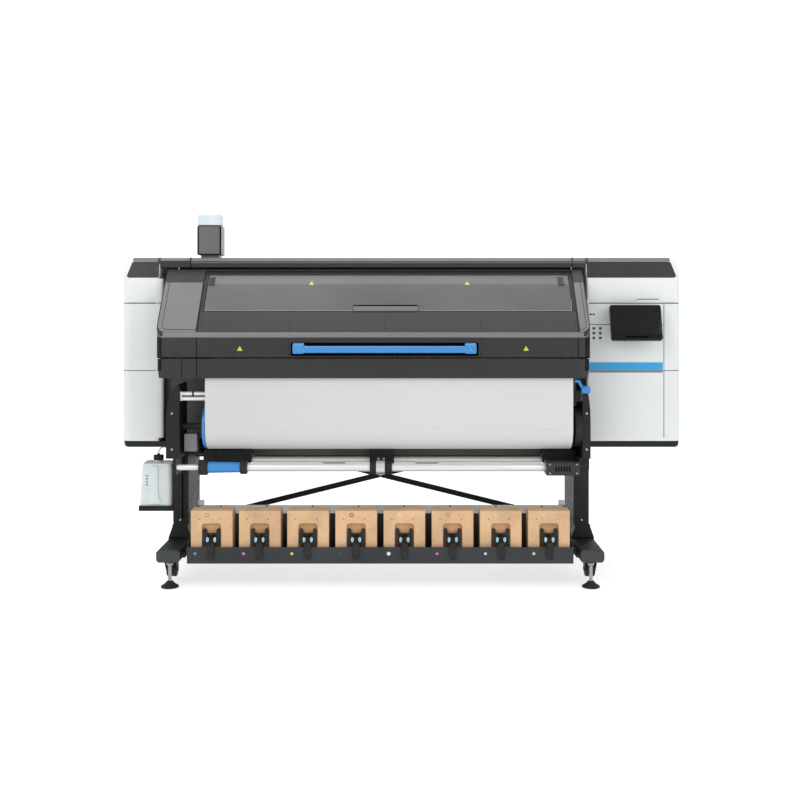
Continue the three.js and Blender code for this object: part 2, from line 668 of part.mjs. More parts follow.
// The web leaves the front of the roll, rises behind the fascia and turns back over the platen.
function mediaWeb() {
  const { y, z, radius } = WEB_BEND;
  const shape = new THREE.Shape();
  shape.moveTo(y - radius, ROLL_AXIS[1]);
  shape.lineTo(y - radius, z);
  shape.absarc(y, z, radius, Math.PI, Math.PI / 2, true);
  shape.lineTo(60, z + radius);
  shape.lineTo(60, z + radius + WEB_THICKNESS);
  shape.absarc(y, z, radius + WEB_THICKNESS, Math.PI / 2, Math.PI, false);
  shape.lineTo(y - radius - WEB_THICKNESS, ROLL_AXIS[1]);
  return part('media_web', prism('x', shape, MEDIA_LEFT, MEDIA_RIGHT, 5), MEDIA_WHITE);
}

function guideBars() {
  const bars = [847, 824].map((z) => rod('x', [-326, z], 9, SPINDLE_LEFT, SPINDLE_RIGHT, 16));
  const clips = [SPINDLE_LEFT, SPINDLE_RIGHT - 8].map((x) => block(x, x + 8, -334, -318, 815, 856));
  return part('guide_bars', union(...bars, ...clips), BRIGHT_METAL);
}

function takeUpHub() {
  return rod('x', TAKE_UP_AXIS, 25, -860, -716).subtract(rod('x', TAKE_UP_AXIS, 18 + GAP, -861, -715));
}

function takeUpSpindle() {
  const bar = rod('x', TAKE_UP_AXIS, 18, -865, 641.7);
  const collars = [
    rod('x', TAKE_UP_AXIS, 34, -899, -860 - GAP),
    rod('x', TAKE_UP_AXIS, 30, -716 + GAP, -685),
  ];
  const stub = rod('x', TAKE_UP_AXIS, 13, -999.7, -899);
  return part('take_up_spindle', union(bar, ...collars, stub), BRIGHT_METAL);
}

function takeUpMotor() {
  const [y, z] = TAKE_UP_AXIS;
  const section = roundedRect(y - 34, y + 60, z - 33, z + 28, 10);
  return part('take_up_motor', prism('x', section, 642, 789), TRIM_DARK);
}

function diverterBar() {
  return part('diverter_bar', rod('x', DIVERTER_AXIS, 14.7, -681.7, 639.7), BRIGHT_METAL);
}

const LEVER_PIVOT = [-362, 905];     // y, z

function spindleLever() {
  const boss = rod('x', LEVER_PIVOT, 8, 768, 784, 16);
  const arm = prism('y', outline([[772, 911], [784, 911], [812, 868], [800, 862]]), -367, -357);
  const knob = rod('x', [-362, 866], 16, 796, 832, 16);
  return part('spindle_lever', union(boss, arm, knob), HANDLE_BLUE);
}

// ---- Operator's panel and beacon ---------------------------------------------------------

const DISPLAY_AXIS = [-198, 1110];   // y, z of the tilt pivot
const DISPLAY_TILT = THREE.MathUtils.degToRad(-18);

function displayMount() {
  const arm = block(1040, 1096, DISPLAY_AXIS[0], POD_FRONT - GAP, 1098, 1122);
  const knuckle = rod('x', DISPLAY_AXIS, 12, 1040, 1096);
  const plate = block(1010, 1126, POD_FRONT - 8, POD_FRONT - GAP, 1080, 1140);
  const pin = rod('x', DISPLAY_AXIS, 4, 1020, 1116, 12);
  return part('display_mount', union(arm, knuckle, plate, pin), TRIM_DARK);
}

function displayHousing() {
  const [pivotY, pivotZ] = DISPLAY_AXIS;
  const panel = new THREE.ExtrudeGeometry(roundedRect(-114, 114, -38, 123, 8), {
    depth: 18, bevelEnabled: true, bevelSize: 3, bevelThickness: 3, bevelSegments: 2, curveSegments: 2,
  });
  panel.rotateX(Math.PI / 2);
  panel.translate(0, -16, 0);
  panel.rotateX(DISPLAY_TILT);
  panel.translate(1068, pivotY, pivotZ);
  const lugs = [[1024, 1040 - GAP], [1096 + GAP, 1112]].map(([x0, x1]) => (
    union(rod('x', DISPLAY_AXIS, 12, x0, x1), block(x0, x1, pivotY - 24, pivotY, 1098, 1122))));
  const bore = rod('x', DISPLAY_AXIS, 4 + GAP, 1000, 1140, 12);
  return part('display_housing', union(toSolid(panel), ...lugs).subtract(bore), DISPLAY_BLACK);
}

const BEACON_SPLIT = 1610;           // where the beacon's lens meets its body

function beaconStand() {
  const [low, high] = [-955, -844];
  const body = prism('z', roundedRect(low, high, -75, 45, 14), 1474, BEACON_SPLIT);
  const neck = prism('z', roundedRect(low + 14, high - 12, -62, 32, 10), BODY_TOP + GAP, 1475);
  return part('beacon_stand', union(body, neck), TRIM_DARK);
}

function beaconLens() {
  const settings = {
    depth: 43, bevelEnabled: true, bevelSize: 6, bevelThickness: 6, bevelSegments: 3, curveSegments: 3,
  };
  const lens = new THREE.ExtrudeGeometry(roundedRect(-943, -856, -64, 34, 8), settings);
  lens.translate(0, 0, BEACON_SPLIT + 6 + GAP);
  return part('beacon_lens', toSolid(lens), MILKY_PLASTIC);
}

// ---- Assembly ----------------------------------------------------------------------------

const printerCutter = new THREE.Group();

const stand = new THREE.Group();
stand.add(footBeam('left_foot_beam', LEFT_FOOT_X));
stand.add(footBeam('right_foot_beam', RIGHT_FOOT_X));
stand.add(column('left_column', LEFT_COLUMN, {
  solid: mediaArm(SPINDLE_LEFT - GAP, -1045, -1),
  bracket: [-1012, -1000],
}));
stand.add(column('right_column', RIGHT_COLUMN, {
  solid: mediaArm(SPINDLE_RIGHT + GAP, 839, 1),
  bracket: [789 + GAP, 803],
}));
stand.add(rearCrossBeam(), crossBrace(), frontCrossBeam());
for (const [side, x, outward] of [['left', LEFT_FOOT_X, -1], ['right', RIGHT_FOOT_X, 1]]) {
  for (const [end, direction] of [['front', -1], ['rear', 1]]) {
    const corner = `${end}_${side}`;
    stand.add(levellingFoot(`levelling_foot_${corner}`, x, direction * LEVELLER_Y));
    stand.add(caster(corner, x + outward * CASTER_OFFSET, direction * CASTER_Y));
  }
}
printerCutter.add(stand);

const inkRack = new THREE.Group();
inkRack.add(inkTray());
for (let index = 0; index < INK_BOXES; index += 1) inkRack.add(inkBox(index));
inkRack.add(bottleShelf(), wasteBottle(), bottleCap(), drainHose());
printerCutter.add(inkRack);

const body = new THREE.Group();
body.add(baseFrame(), chassisBeam(), leftPod(), rightPod(), rearCover());
body.add(podLid('left_pod_lid', -HALF_WIDTH, LEFT_POD_INNER));
body.add(podLid('right_pod_lid', HALF_WIDTH, RIGHT_POD_INNER));
body.add(frontCover(), frontHandle(), coverWindow(), lowerFascia(), platen());
body.add(carriageRail(), carriage());
body.add(displayMount(), displayHousing(), beaconStand(), beaconLens());
printerCutter.add(body);

const mediaPath = new THREE.Group();
mediaPath.add(supplySpindle(), mediaRoll(), mediaWeb(), guideBars());
mediaPath.add(takeUpSpindle(), part('take_up_hub', takeUpHub(), HANDLE_BLUE), takeUpMotor());
mediaPath.add(diverterBar(), spindleLever());
printerCutter.add(mediaPath);

export default printerCutter;
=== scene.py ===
import json
import math

import bmesh
import bpy
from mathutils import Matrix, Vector

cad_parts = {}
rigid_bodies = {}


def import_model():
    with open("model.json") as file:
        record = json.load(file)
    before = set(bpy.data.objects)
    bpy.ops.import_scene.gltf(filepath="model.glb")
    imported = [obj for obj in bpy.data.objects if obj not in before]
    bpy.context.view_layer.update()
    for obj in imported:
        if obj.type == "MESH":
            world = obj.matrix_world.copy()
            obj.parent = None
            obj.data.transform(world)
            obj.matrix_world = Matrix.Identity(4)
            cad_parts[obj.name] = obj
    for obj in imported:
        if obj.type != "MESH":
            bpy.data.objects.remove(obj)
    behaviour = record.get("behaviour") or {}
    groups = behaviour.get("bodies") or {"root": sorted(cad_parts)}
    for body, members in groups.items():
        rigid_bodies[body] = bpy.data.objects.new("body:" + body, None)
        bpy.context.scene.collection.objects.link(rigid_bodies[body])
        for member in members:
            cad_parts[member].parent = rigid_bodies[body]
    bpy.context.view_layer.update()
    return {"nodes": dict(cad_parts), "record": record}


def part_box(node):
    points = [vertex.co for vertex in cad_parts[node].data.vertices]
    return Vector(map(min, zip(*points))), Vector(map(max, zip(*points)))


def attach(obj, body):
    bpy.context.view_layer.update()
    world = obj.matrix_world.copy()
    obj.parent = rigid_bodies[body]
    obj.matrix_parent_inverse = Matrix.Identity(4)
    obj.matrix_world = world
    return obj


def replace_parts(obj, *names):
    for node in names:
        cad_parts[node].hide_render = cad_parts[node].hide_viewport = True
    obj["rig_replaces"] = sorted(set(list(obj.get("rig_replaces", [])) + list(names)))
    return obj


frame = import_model()

BODY_OF = {node: body for body, nodes in frame["record"]["behaviour"]["bodies"].items() for node in nodes}
SLOT_OF = {row["node"]: row["material_slot"] for row in frame["record"]["subparts"]}


# ---- Camera, light and floor ---------------------------------------------------------------

PURE_WHITE = (1, 1, 1, 1)
CAMERA_PLACE = (0.0, -5.271, 1.263)          # metres, from the photograph and an assumed 50 mm lens


def make_camera():
    data = bpy.data.cameras.new("camera")
    data.lens = 50
    data.sensor_width = 36
    data.shift_x = -0.0018
    data.shift_y = -0.125
    data.clip_end = 100
    camera = bpy.data.objects.new("camera", data)
    bpy.context.scene.collection.objects.link(camera)
    camera.location = CAMERA_PLACE
    camera.rotation_euler = (math.radians(90), 0, 0)
    bpy.context.scene.camera = camera


def area_light(name, location, size, power, aim=(0, 0, 0.8)):
    data = bpy.data.lights.new(name, "AREA")
    data.shape = "RECTANGLE"
    data.size, data.size_y = size
    data.energy = power
    light = bpy.data.objects.new(name, data)
    light.location = location
    light.rotation_euler = (Vector(aim) - Vector(location)).to_track_quat("-Z", "Y").to_euler()
    bpy.context.scene.collection.objects.link(light)


def make_studio():
    scene = bpy.context.scene
    scene.view_settings.view_transform = "Standard"
    world = bpy.data.worlds.new("studio")
    scene.world = world
    world.use_nodes = True
    background = world.node_tree.nodes["Background"]
    background.inputs["Color"].default_value = PURE_WHITE
    background.inputs["Strength"].default_value = 0.85
    area_light("key", (-3.0, -4.5, 4.2), (3.5, 2.5), 90)
    area_light("fill", (3.6, -4.0, 2.6), (2.5, 2.5), 45)
    area_light("top", (0, 0.4, 4.4), (4.5, 2.0), 60)
    floor = sweep()
    scene.collection.objects.link(floor)
    material = bpy.data.materials.new("floor_pale")
    material.use_nodes = True
    shader = material.node_tree.nodes["Principled BSDF"]
    shader.inputs["Base Color"].default_value = (0.55, 0.55, 0.55, 1)
    shader.inputs["Roughness"].default_value = 0.9
    shader.inputs["Emission Color"].default_value = PURE_WHITE
    shader.inputs["Emission Strength"].default_value = 0.62
    floor.data.materials.append(material)


def sweep():
    """A pale floor that curves up into a backdrop behind the object, in metres."""
    reach, rear, radius, top, steps = 40, 9, 6, 30, 12
    line = [(-reach, 0.0)]
    for step in range(steps + 1):
        angle = math.radians(90 * step / steps)
        line.append((rear + radius * math.sin(angle), radius - radius * math.cos(angle)))
    line.append((rear + radius, top))
    verts = [(x, y, z) for y, z in line for x in (-reach, reach)]
    faces = [(2 * i, 2 * i + 1, 2 * i + 3, 2 * i + 2) for i in range(len(line) - 1)]
    mesh = bpy.data.meshes.new("floor")
    mesh.from_pydata(verts, [], faces)
    for polygon in mesh.polygons:
        polygon.use_smooth = True
    return bpy.data.objects.new("floor", mesh)


# ---- Materials -----------------------------------------------------------------------------

NOISE_LOW, NOISE_HIGH = 0.3, 0.7      # a noise texture keeps almost wholly between these


class Graph:
    """A material's node tree, with short calls for the nodes that the finishes share."""

    def __init__(self, name):
        self.material = bpy.data.materials.new(name)
        self.material.use_nodes = True
        self.nodes = self.material.node_tree.nodes
        self.links = self.material.node_tree.links
        self.shader = self.nodes["Principled BSDF"]
        self.place = self.nodes.new("ShaderNodeTexCoord").outputs["Object"]

    def add(self, kind, values, feed):
        """A new node with these input values, and with sockets feeding its other inputs."""
        node = self.nodes.new(kind)
        for socket, value in values.items():
            node.inputs[socket].default_value = value
        for socket, source in feed.items():
            self.links.new(source, node.inputs[socket])
        return node

    def noise(self, scale, detail=3.0, stretch=None):
        source = self.place
        if stretch:
            source = self.add("ShaderNodeMapping", {"Scale": stretch}, {"Vector": source}).outputs["Vector"]
        node = self.add("ShaderNodeTexNoise", {"Scale": scale, "Detail": detail}, {"Vector": source})
        return node.outputs["Fac"]

    def cells(self, scale):
        return self.add("ShaderNodeTexVoronoi", {"Scale": scale}, {"Vector": self.place}).outputs["Distance"]

    def bands(self, scale, axis):
        node = self.add("ShaderNodeTexWave", {"Scale": scale, "Distortion": 0.6}, {"Vector": self.place})
        node.bands_direction = axis
        return node.outputs["Fac"]

    def ramp(self, source, low, high, start=0.35, end=0.65):
        node = self.add("ShaderNodeValToRGB", {}, {"Fac": source})
        for element, color, position in zip(node.color_ramp.elements, (low, high), (start, end)):
            element.color = (*color, 1)
            element.position = position
        return node.outputs["Color"]

    def span(self, source, low, high):
        ends = {"From Min": NOISE_LOW, "From Max": NOISE_HIGH, "To Min": low, "To Max": high}
        return self.add("ShaderNodeMapRange", ends, {"Value": source}).outputs["Result"]

    def mixed(self, first, second, amount):
        node = self.nodes.new("ShaderNodeMix")
        node.data_type = "RGBA"
        node.blend_type = "MULTIPLY"
        node.inputs["Factor"].default_value = amount
        self.links.new(first, node.inputs[6])
        self.links.new(second, node.inputs[7])
        return node.outputs[2]

    def bump(self, height, strength, distance):
        node = self.add("ShaderNodeBump", {"Strength": strength, "Distance": distance}, {"Height": height})
        if self.shader.inputs["Normal"].is_linked:
            previous = self.shader.inputs["Normal"].links[0].from_socket
            self.links.new(previous, node.inputs["Normal"])
        self.links.new(node.outputs["Normal"], self.shader.inputs["Normal"])

    def tone(self, color, low, high, *noise):
        """The base colour, drifting between two of its shades."""
        self.link(self.ramp(self.noise(*noise), shade(color, low), shade(color, high)), "Base Color")

    def gloss(self, low, high, *noise):
        """Roughness drifting between two values."""
        self.link(self.span(self.noise(*noise), low, high), "Roughness")

    def set(self, socket, value):
        self.shader.inputs[socket].default_value = value

    def link(self, output, socket):
        self.links.new(output, self.shader.inputs[socket])


STUDIO_GAIN = 0.74               # the bright studio lifts every finish, so each is mixed darker


def srgb(red, green, blue):
    """The linear colour that shows as about this display colour, 0 to 255, in the studio's light."""
    def linear(value):
        value /= 255
        return value / 12.92 if value <= 0.04045 else ((value + 0.055) / 1.055) ** 2.4
    return tuple(linear(value) * STUDIO_GAIN for value in (red, green, blue))


def shade(color, factor):
    return tuple(min(1, value * factor) for value in color)


def textured_plastic(name, color, roughness, grain=900, vary=0.05, sheen=0.5):
    """Spark-eroded mould texture: cell grain, handling marks and slow colour drift."""
    graph = Graph(name)
    drift = graph.ramp(graph.noise(1.6), shade(color, 1 - vary), shade(color, 1 + vary))
    speckle = graph.ramp(graph.noise(420, 2), (0.93, 0.93, 0.93), (1, 1, 1))
    graph.link(graph.mixed(drift, speckle, 0.6), "Base Color")
    graph.gloss(roughness - 0.06, roughness + 0.08, 9, 5)
    graph.set("Specular IOR Level", sheen)
    graph.bump(graph.cells(grain), 0.25, 0.00012)
    graph.bump(graph.noise(3.5, 2), 0.08, 0.0012)
    return graph.material


def powder_coat(name, color, roughness=0.55):
    """Sprayed paint on steel: orange peel, fine flake and dust on the coat."""
    graph = Graph(name)
    tone = graph.ramp(graph.noise(4, 4), shade(color, 0.85), shade(color, 1.2))
    flake = graph.ramp(graph.cells(700), (0.8, 0.8, 0.8), (1, 1, 1), 0.1, 0.5)
    graph.link(graph.mixed(tone, flake, 0.5), "Base Color")
    graph.gloss(roughness - 0.1, roughness + 0.12, 60, 3)
    graph.set("Specular IOR Level", 0.3)
    graph.bump(graph.noise(380, 2), 0.35, 0.0003)
    return graph.material


def drawn_metal(name, color, roughness=0.25, axis=(0.6, 90, 90), metallic=1.0):
    """Drawn or brushed metal: long scratches along one axis and slight staining."""
    graph = Graph(name)
    graph.set("Metallic", metallic)
    streaks = graph.noise(14, 6, axis)
    graph.link(graph.ramp(streaks, shade(color, 0.82), shade(color, 1.1)), "Base Color")
    graph.gloss(roughness - 0.08, roughness + 0.12, 30, 4, axis)
    graph.bump(streaks, 0.15, 0.0002)
    return graph.material


def rubber(name, color):
    graph = Graph(name)
    graph.tone(color, 0.8, 1.4, 22, 5)
    graph.gloss(0.65, 0.9, 80, 3)
    graph.bump(graph.noise(500, 3), 0.4, 0.0003)
    return graph.material


def smoked_sheet(name, color):
    """Tinted clear sheet: see-through, with faint wiping marks in its gloss."""
    graph = Graph(name)
    graph.tone(color, 0.9, 1.12, 2.2)
    graph.gloss(0.05, 0.16, 7, 6, (1, 3, 3))
    graph.set("Alpha", 0.5)
    graph.set("IOR", 1.5)
    graph.bump(graph.noise(2.5, 1), 0.02, 0.0005)
    return graph.material


def cardboard(name, color):
    """Corrugated board: faint flutes, paper fibre and scuffed patches."""
    graph = Graph(name)
    tone = graph.ramp(graph.noise(9, 5), shade(color, 0.86), shade(color, 1.08))
    fibre = graph.ramp(graph.noise(260, 4, (1, 1, 0.25)), (0.82, 0.8, 0.78), (1, 1, 1))
    graph.link(graph.mixed(tone, fibre, 0.7), "Base Color")
    graph.gloss(0.75, 0.95, 40, 4)
    graph.bump(graph.bands(75, "X"), 0.25, 0.0006)
    graph.bump(graph.noise(330, 4), 0.35, 0.0003)
    return graph.material


def coated_media(name, color):
    """Matt vinyl: almost even, with a slight winding drift across the width."""
    graph = Graph(name)
    graph.tone(color, 0.96, 1.03, 0.9, 2, (1, 1, 0.2))
    graph.gloss(0.42, 0.58, 50, 3)
    graph.bump(graph.noise(2.2, 2, (1, 1, 0.15)), 0.06, 0.004)
    graph.bump(graph.noise(700, 2), 0.08, 0.0001)
    return graph.material


def milky_plastic(name, color):
    graph = Graph(name)
    graph.tone(color, 0.93, 1.03, 14, 3)
    graph.gloss(0.25, 0.42, 35, 3)
    graph.set("Subsurface Weight", 0.35)
    graph.set("Subsurface Scale", 0.02)
    graph.bump(graph.noise(45, 3), 0.15, 0.0008)
    return graph.material


def gloss_black(name, color, roughness=0.08):
    graph = Graph(name)
    graph.tone(color, 0.8, 1.5, 5, 3)
    graph.gloss(roughness, roughness + 0.12, 18, 6)
    graph.bump(graph.noise(3, 1), 0.03, 0.001)
    graph.set("Specular IOR Level", 0.22)
    return graph.material


def lamp_plastic(name, color, glow):
    graph = Graph(name)
    graph.tone(color, 0.9, 1.1, 30, 2)
    graph.gloss(0.2, 0.35, 90, 2)
    graph.set("Emission Color", (*color, 1))
    graph.set("Emission Strength", glow)
    return graph.material


WHITE = textured_plastic("panel_white", srgb(240, 245, 245), 0.42, vary=0.02)
WHITE_EDGE = textured_plastic("panel_white_edge", srgb(244, 247, 247), 0.38, vary=0.02)
# Dark grey: the own colour of panel gaps and marks; under the lids and the lid grip it is a painted shadow.
SEAM_AND_SHADOW_GREY = textured_plastic("seam_and_shadow_grey", srgb(78, 81, 82), 0.6)
TRIM = textured_plastic("trim_dark", srgb(34, 33, 35), 0.5)
# Light grey: the own colour of some trims, such as the accent line and the window grip lip; along the top
# edges of the lids and the centre top it is a painted highlight.
LIGHT_TRIM_AND_EDGE_HIGHLIGHT = textured_plastic("light_trim_and_edge_highlight", srgb(112, 112, 113), 0.45)
CHARCOAL = textured_plastic("cover_charcoal", srgb(28, 28, 28), 0.5)
# Mid grey: the own colour of the sensor box and the carriage label plate; on the front cover's sloping
# plates, lip and window foot edge it is a painted reflection of the studio light on the charcoal cover.
PALE_GREY_AND_SLOPE_REFLECTION = textured_plastic("pale_grey_and_slope_reflection", srgb(126, 126, 126), 0.45)
COVER_PANEL = textured_plastic("cover_recess", srgb(44, 44, 44), 0.42)
# Near black: the own dark of seams, holes and slots; at the back of the handle recess and above the window
# grip it is painted shade.
SEAM_AND_SHADE_BLACK = textured_plastic("seam_and_shade_black", srgb(3, 3, 3), 0.8, sheen=0.05)
# Near black on the cover's and fascia's rounded front corners: painted shade where the corner facets turn
# from the light.
CORNER_SHADE = textured_plastic("cover_corner", srgb(12, 12, 12), 0.55, sheen=0.15)
FRAME_BLACK = powder_coat("frame_black", srgb(22, 22, 23))
BEAM_GREY = powder_coat("beam_grey", srgb(108, 112, 104), 0.5)
END_CAP = powder_coat("end_cap_grey", srgb(62, 66, 68), 0.5)
TRAY_GREY = powder_coat("tray_grey", srgb(54, 55, 57), 0.5)
RAIL_GREY = powder_coat("rail_light_grey", srgb(246, 243, 238), 0.5)
BLUE = textured_plastic("handle_blue", srgb(58, 146, 220), 0.32, grain=1200)
STRIP_BLUE = textured_plastic("strip_blue", srgb(28, 172, 238), 0.35)
METAL = drawn_metal("drawn_aluminium", srgb(228, 229, 230), 0.3, metallic=0.75)
PALE_BAR = drawn_metal("pale_anodised", srgb(248, 248, 246), 0.4, metallic=0.45)
DARK_METAL = drawn_metal("grey_zinc", srgb(186, 188, 190), 0.35)
RUBBER = rubber("rubber_black", srgb(24, 24, 24))
WINDOW = smoked_sheet("smoked_clear", srgb(138, 138, 138))
CARDBOARD = cardboard("cardboard_brown", srgb(240, 198, 154))
# A darker copy of the cardboard: painted shade on the cartons' tops and in their recesses.
CARDBOARD_SHADE = cardboard("cardboard_painted_shade", srgb(226, 176, 128))
MEDIA = coated_media("media_white", srgb(220, 220, 220))
MILKY = milky_plastic("milky_plastic", srgb(238, 246, 247))
LENS_CLEAR = milky_plastic("beacon_clear", srgb(232, 244, 250))
LENS_GREY = textured_plastic("lens_grey", srgb(108, 108, 108), 0.3)
GLOSS_BLACK = gloss_black("gloss_black", srgb(6, 6, 7))
SCREEN = gloss_black("screen_black", srgb(14, 14, 15), 0.14)
YELLOW = textured_plastic("mark_yellow", srgb(226, 220, 70), 0.4)
LIGHT_CYAN = lamp_plastic("lamp_cyan", srgb(176, 218, 236), 0.15)
DOT_COLOURS = [textured_plastic("dot_" + name, srgb(*color), 0.4) for name,
    color in (("cyan", (70, 160, 200)), ("pink", (215, 130, 180)), ("yellow", (230, 220, 60)),
    ("dark", (60, 62, 66)), ("white", (235, 235, 235)), ("rose", (205, 110, 150)),
    ("pale_blue", (190, 215, 230)), ("pale_grey", (210, 210, 214)))]

NODE_MATERIAL = {"panel_white": WHITE, "trim_dark": TRIM, "cover_grey": CHARCOAL,
    "frame_black": FRAME_BLACK, "beam_grey": BEAM_GREY, "handle_blue": BLUE, "bright_metal": METAL,
    "rubber_black": RUBBER, "smoked_clear": WINDOW, "cardboard": CARDBOARD, "media_white": MEDIA,
    "milky_plastic": MILKY, "hose_white": MILKY, "display_black": GLOSS_BLACK}


# ---- Mesh building -------------------------------------------------------------------------

MM = 0.001


def finish_piece(mesh, name, material, body, bevel=0.0015, segments=2):
    """Makes a mesh an object with soft edges, a finish and the CAD body that it rides on."""
    for polygon in mesh.polygons:
        polygon.use_smooth = True
    mesh.materials.clear()
    mesh.materials.append(material)
    piece = bpy.data.objects.new(name, mesh)
    bpy.context.scene.collection.objects.link(piece)
    if bevel:
        modifier = piece.modifiers.new("edges", "BEVEL")
        modifier.width = bevel
        modifier.segments = segments
        modifier.limit_method = "ANGLE"
        modifier.angle_limit = math.radians(32)
        modifier.harden_normals = True
    mesh.set_sharp_from_angle(angle=math.radians(32))
    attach(piece, body)
    return piece


def to_mesh(bm, name):
    bmesh.ops.recalc_face_normals(bm, faces=bm.faces)
    mesh = bpy.data.meshes.new(name)
    bm.to_mesh(mesh)
    bm.free()
    return mesh


def add_block(bm, low, high):
    """A box between two corners, in millimetres."""
    for vert in bmesh.ops.create_cube(bm, size=1)["verts"]:
        vert.co = Vector([(low[i] if vert.co[i] < 0 else high[i]) * MM for i in range(3)])


def skin(bm, rings, bored=False):
    """Faces between closed rings of vertices in turn, with a cap at each end or a bore through."""
    followers = rings[1:] + rings[:1] if bored else rings[1:]
    for first, second in zip(rings, followers):
        for i in range(len(first)):
            j = (i + 1) % len(first)
            bm.faces.new((first[i], first[j], second[j], second[i]))
    if not bored:
        bm.faces.new(rings[0])
        bm.faces.new(rings[-1])


DRAWN = {"x": lambda a, b, c: (c, a, b), "y": lambda a, b, c: (a, c, b), "z": lambda a, b, c: (a, b, c)}


def round_spot(x, up, radius, sides=12, tall=1):
    """A circle's corner points, or an ellipse's that is so many times as tall as it is wide."""
    angles = [2 * math.pi * i / sides for i in range(sides)]
    return [(x + radius * math.cos(angle), up + radius * tall * math.sin(angle)) for angle in angles]


def level_ring(bm, axis, outline, level):
    return [bm.verts.new(Vector(DRAWN[axis](a, b, level)) * MM) for a, b in outline]


def add_prism(bm, axis, outline, low, high):
    """An outline drawn across an axis and pulled along it, in millimetres."""
    skin(bm, [level_ring(bm, axis, outline, level) for level in (low, high)])


def add_turned(bm, axis, centre, profile, sides=48, bored=False):
    """A profile of (distance along the axis, radius) turned about it, in millimetres."""
    rings = [level_ring(bm, axis, round_spot(*centre, radius, sides), along) for along, radius in profile]
    skin(bm, rings, bored)


def rounded(a0, a1, b0, b1, radius, steps=5):
    """Corner points of a rectangle with round corners."""
    points = []
    for corner, (a, b) in enumerate([(a1 - radius, b0 + radius), (a1 - radius, b1 - radius),
            (a0 + radius, b1 - radius), (a0 + radius, b0 + radius)]):
        for step in range(steps + 1):
            angle = math.radians(90 * (corner - 1 + step / steps))
            points.append((a + radius * math.cos(angle), b + radius * math.sin(angle)))
    return points


def blocks(name, boxes, material, body, bevel=0.0015, segments=2):
    bm = bmesh.new()
    for low, high in boxes:
        add_block(bm, low, high)
    return finish_piece(to_mesh(bm, name), name, material, body, bevel, segments)


def prisms(name, axis, items, material, body, bevel=0.0015, segments=2):
    bm = bmesh.new()
    for outline, low, high in items:
        add_prism(bm, axis, outline, low, high)
    return finish_piece(to_mesh(bm, name), name, material, body, bevel, segments)


def turned(name, axis, items, material, body, bevel=0.0008, sides=48, bored=False):
    bm = bmesh.new()
    for centre, profile in items:
        add_turned(bm, axis, centre, profile, sides, bored)
    return finish_piece(to_mesh(bm, name), name, material, body, bevel)


def cad_mesh(node):
    """A copy of a CAD node's mesh with its flat faces whole again, ready for a bevel."""
    bm = bmesh.new()
    bm.from_mesh(frame["nodes"][node].data)
    bmesh.ops.remove_doubles(bm, verts=bm.verts, dist=1e-5)
    bmesh.ops.dissolve_limit(bm, angle_limit=math.radians(1), verts=bm.verts, edges=bm.edges)
    return to_mesh(bm, node)


def stand_for(piece, node):
    """Puts a detailed piece in place of a CAD node, and hides the node."""
    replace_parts(piece, node)


def refine(node, material=None, bevel=0.0015, segments=3):
    """Stands for a CAD node: its own shape with soft edges and a finish."""
    material = material or NODE_MATERIAL[SLOT_OF[node]]
    mesh = cad_mesh(node)
    stand_for(finish_piece(mesh, node + "_fine", material, BODY_OF[node], bevel, segments), node)


def screws(name, spots, material, body, radius=4.5, axis="y", out=-1):
    """Round-headed screws with a hollow in the head; each spot is the head's seat, in mm."""
    bm = bmesh.new()
    order = {"x": (1, 2, 0), "y": (0, 2, 1), "z": (0, 1, 2)}[axis]
    for spot in spots:
        a, b, level = (spot[i] for i in order)
        profile = [(level, radius), (level + out * 1.2, radius), (level + out * 2.2, radius * 0.7),
            (level + out * 2.2, radius * 0.35), (level + out * 1.2, radius * 0.3)]
        add_turned(bm, axis, (a, b), profile, 16)
    return finish_piece(to_mesh(bm, name), name, material, body, 0)


def add_moulding(bm, path, profile):
    """A closed (outward, height) profile carried along a path of ((x, y), (nx, ny), rise) points."""
    rings = []
    for (x, y), (nx, ny), rise in path:
        places = [Vector((x + nx * out, y + ny * out, z + rise)) for out, z in profile]
        rings.append([bm.verts.new(place * MM) for place in places])
    skin(bm, rings)


def arc_path(centre, radius, start, end, steps=8):
    """A level path's points and outward normals round a corner, between two angles in degrees."""
    path = []
    for step in range(steps + 1):
        angle = math.radians(start + (end - start) * step / steps)
        normal = (math.cos(angle), math.sin(angle))
        path.append(((centre[0] + radius * normal[0], centre[1] + radius * normal[1]), normal, 0))
    return path


def moulding(name, path, profile, material, body, bevel=0.0006):
    bm = bmesh.new()
    add_moulding(bm, path, profile)
    return finish_piece(to_mesh(bm, name), name, material, body, bevel)


# ---- Pods and their lids -------------------------------------------------------------------

POD_FRONT, POD_REAR, POD_CORNER = -140, 330, 40
HALF_WIDTH = 1291.5
LEFT_INNER, RIGHT_INNER = -1119, 855
POD_SEAMS = (937, 1150)          # heights of the gaps between casing panels
SEAM = 3.2                       # width of such a gap
DOOR_EDGE = 1212                 # x of the right pod's upright panel gap


def pod_path(side, inner):
    """The pod's plan from beside the cover round its outer corners to the back."""
    reach = HALF_WIDTH - POD_CORNER
    front = arc_path((reach, POD_FRONT + POD_CORNER), POD_CORNER, -90, 0)
    rear = arc_path((reach, POD_REAR - POD_CORNER), POD_CORNER, 0, 90)
    path = [((abs(inner) + 14, POD_FRONT), (0, -1), 0)] + front + rear
    return [((side * x, y), (side * nx, ny), rise) for (x, y), (nx, ny), rise in path]


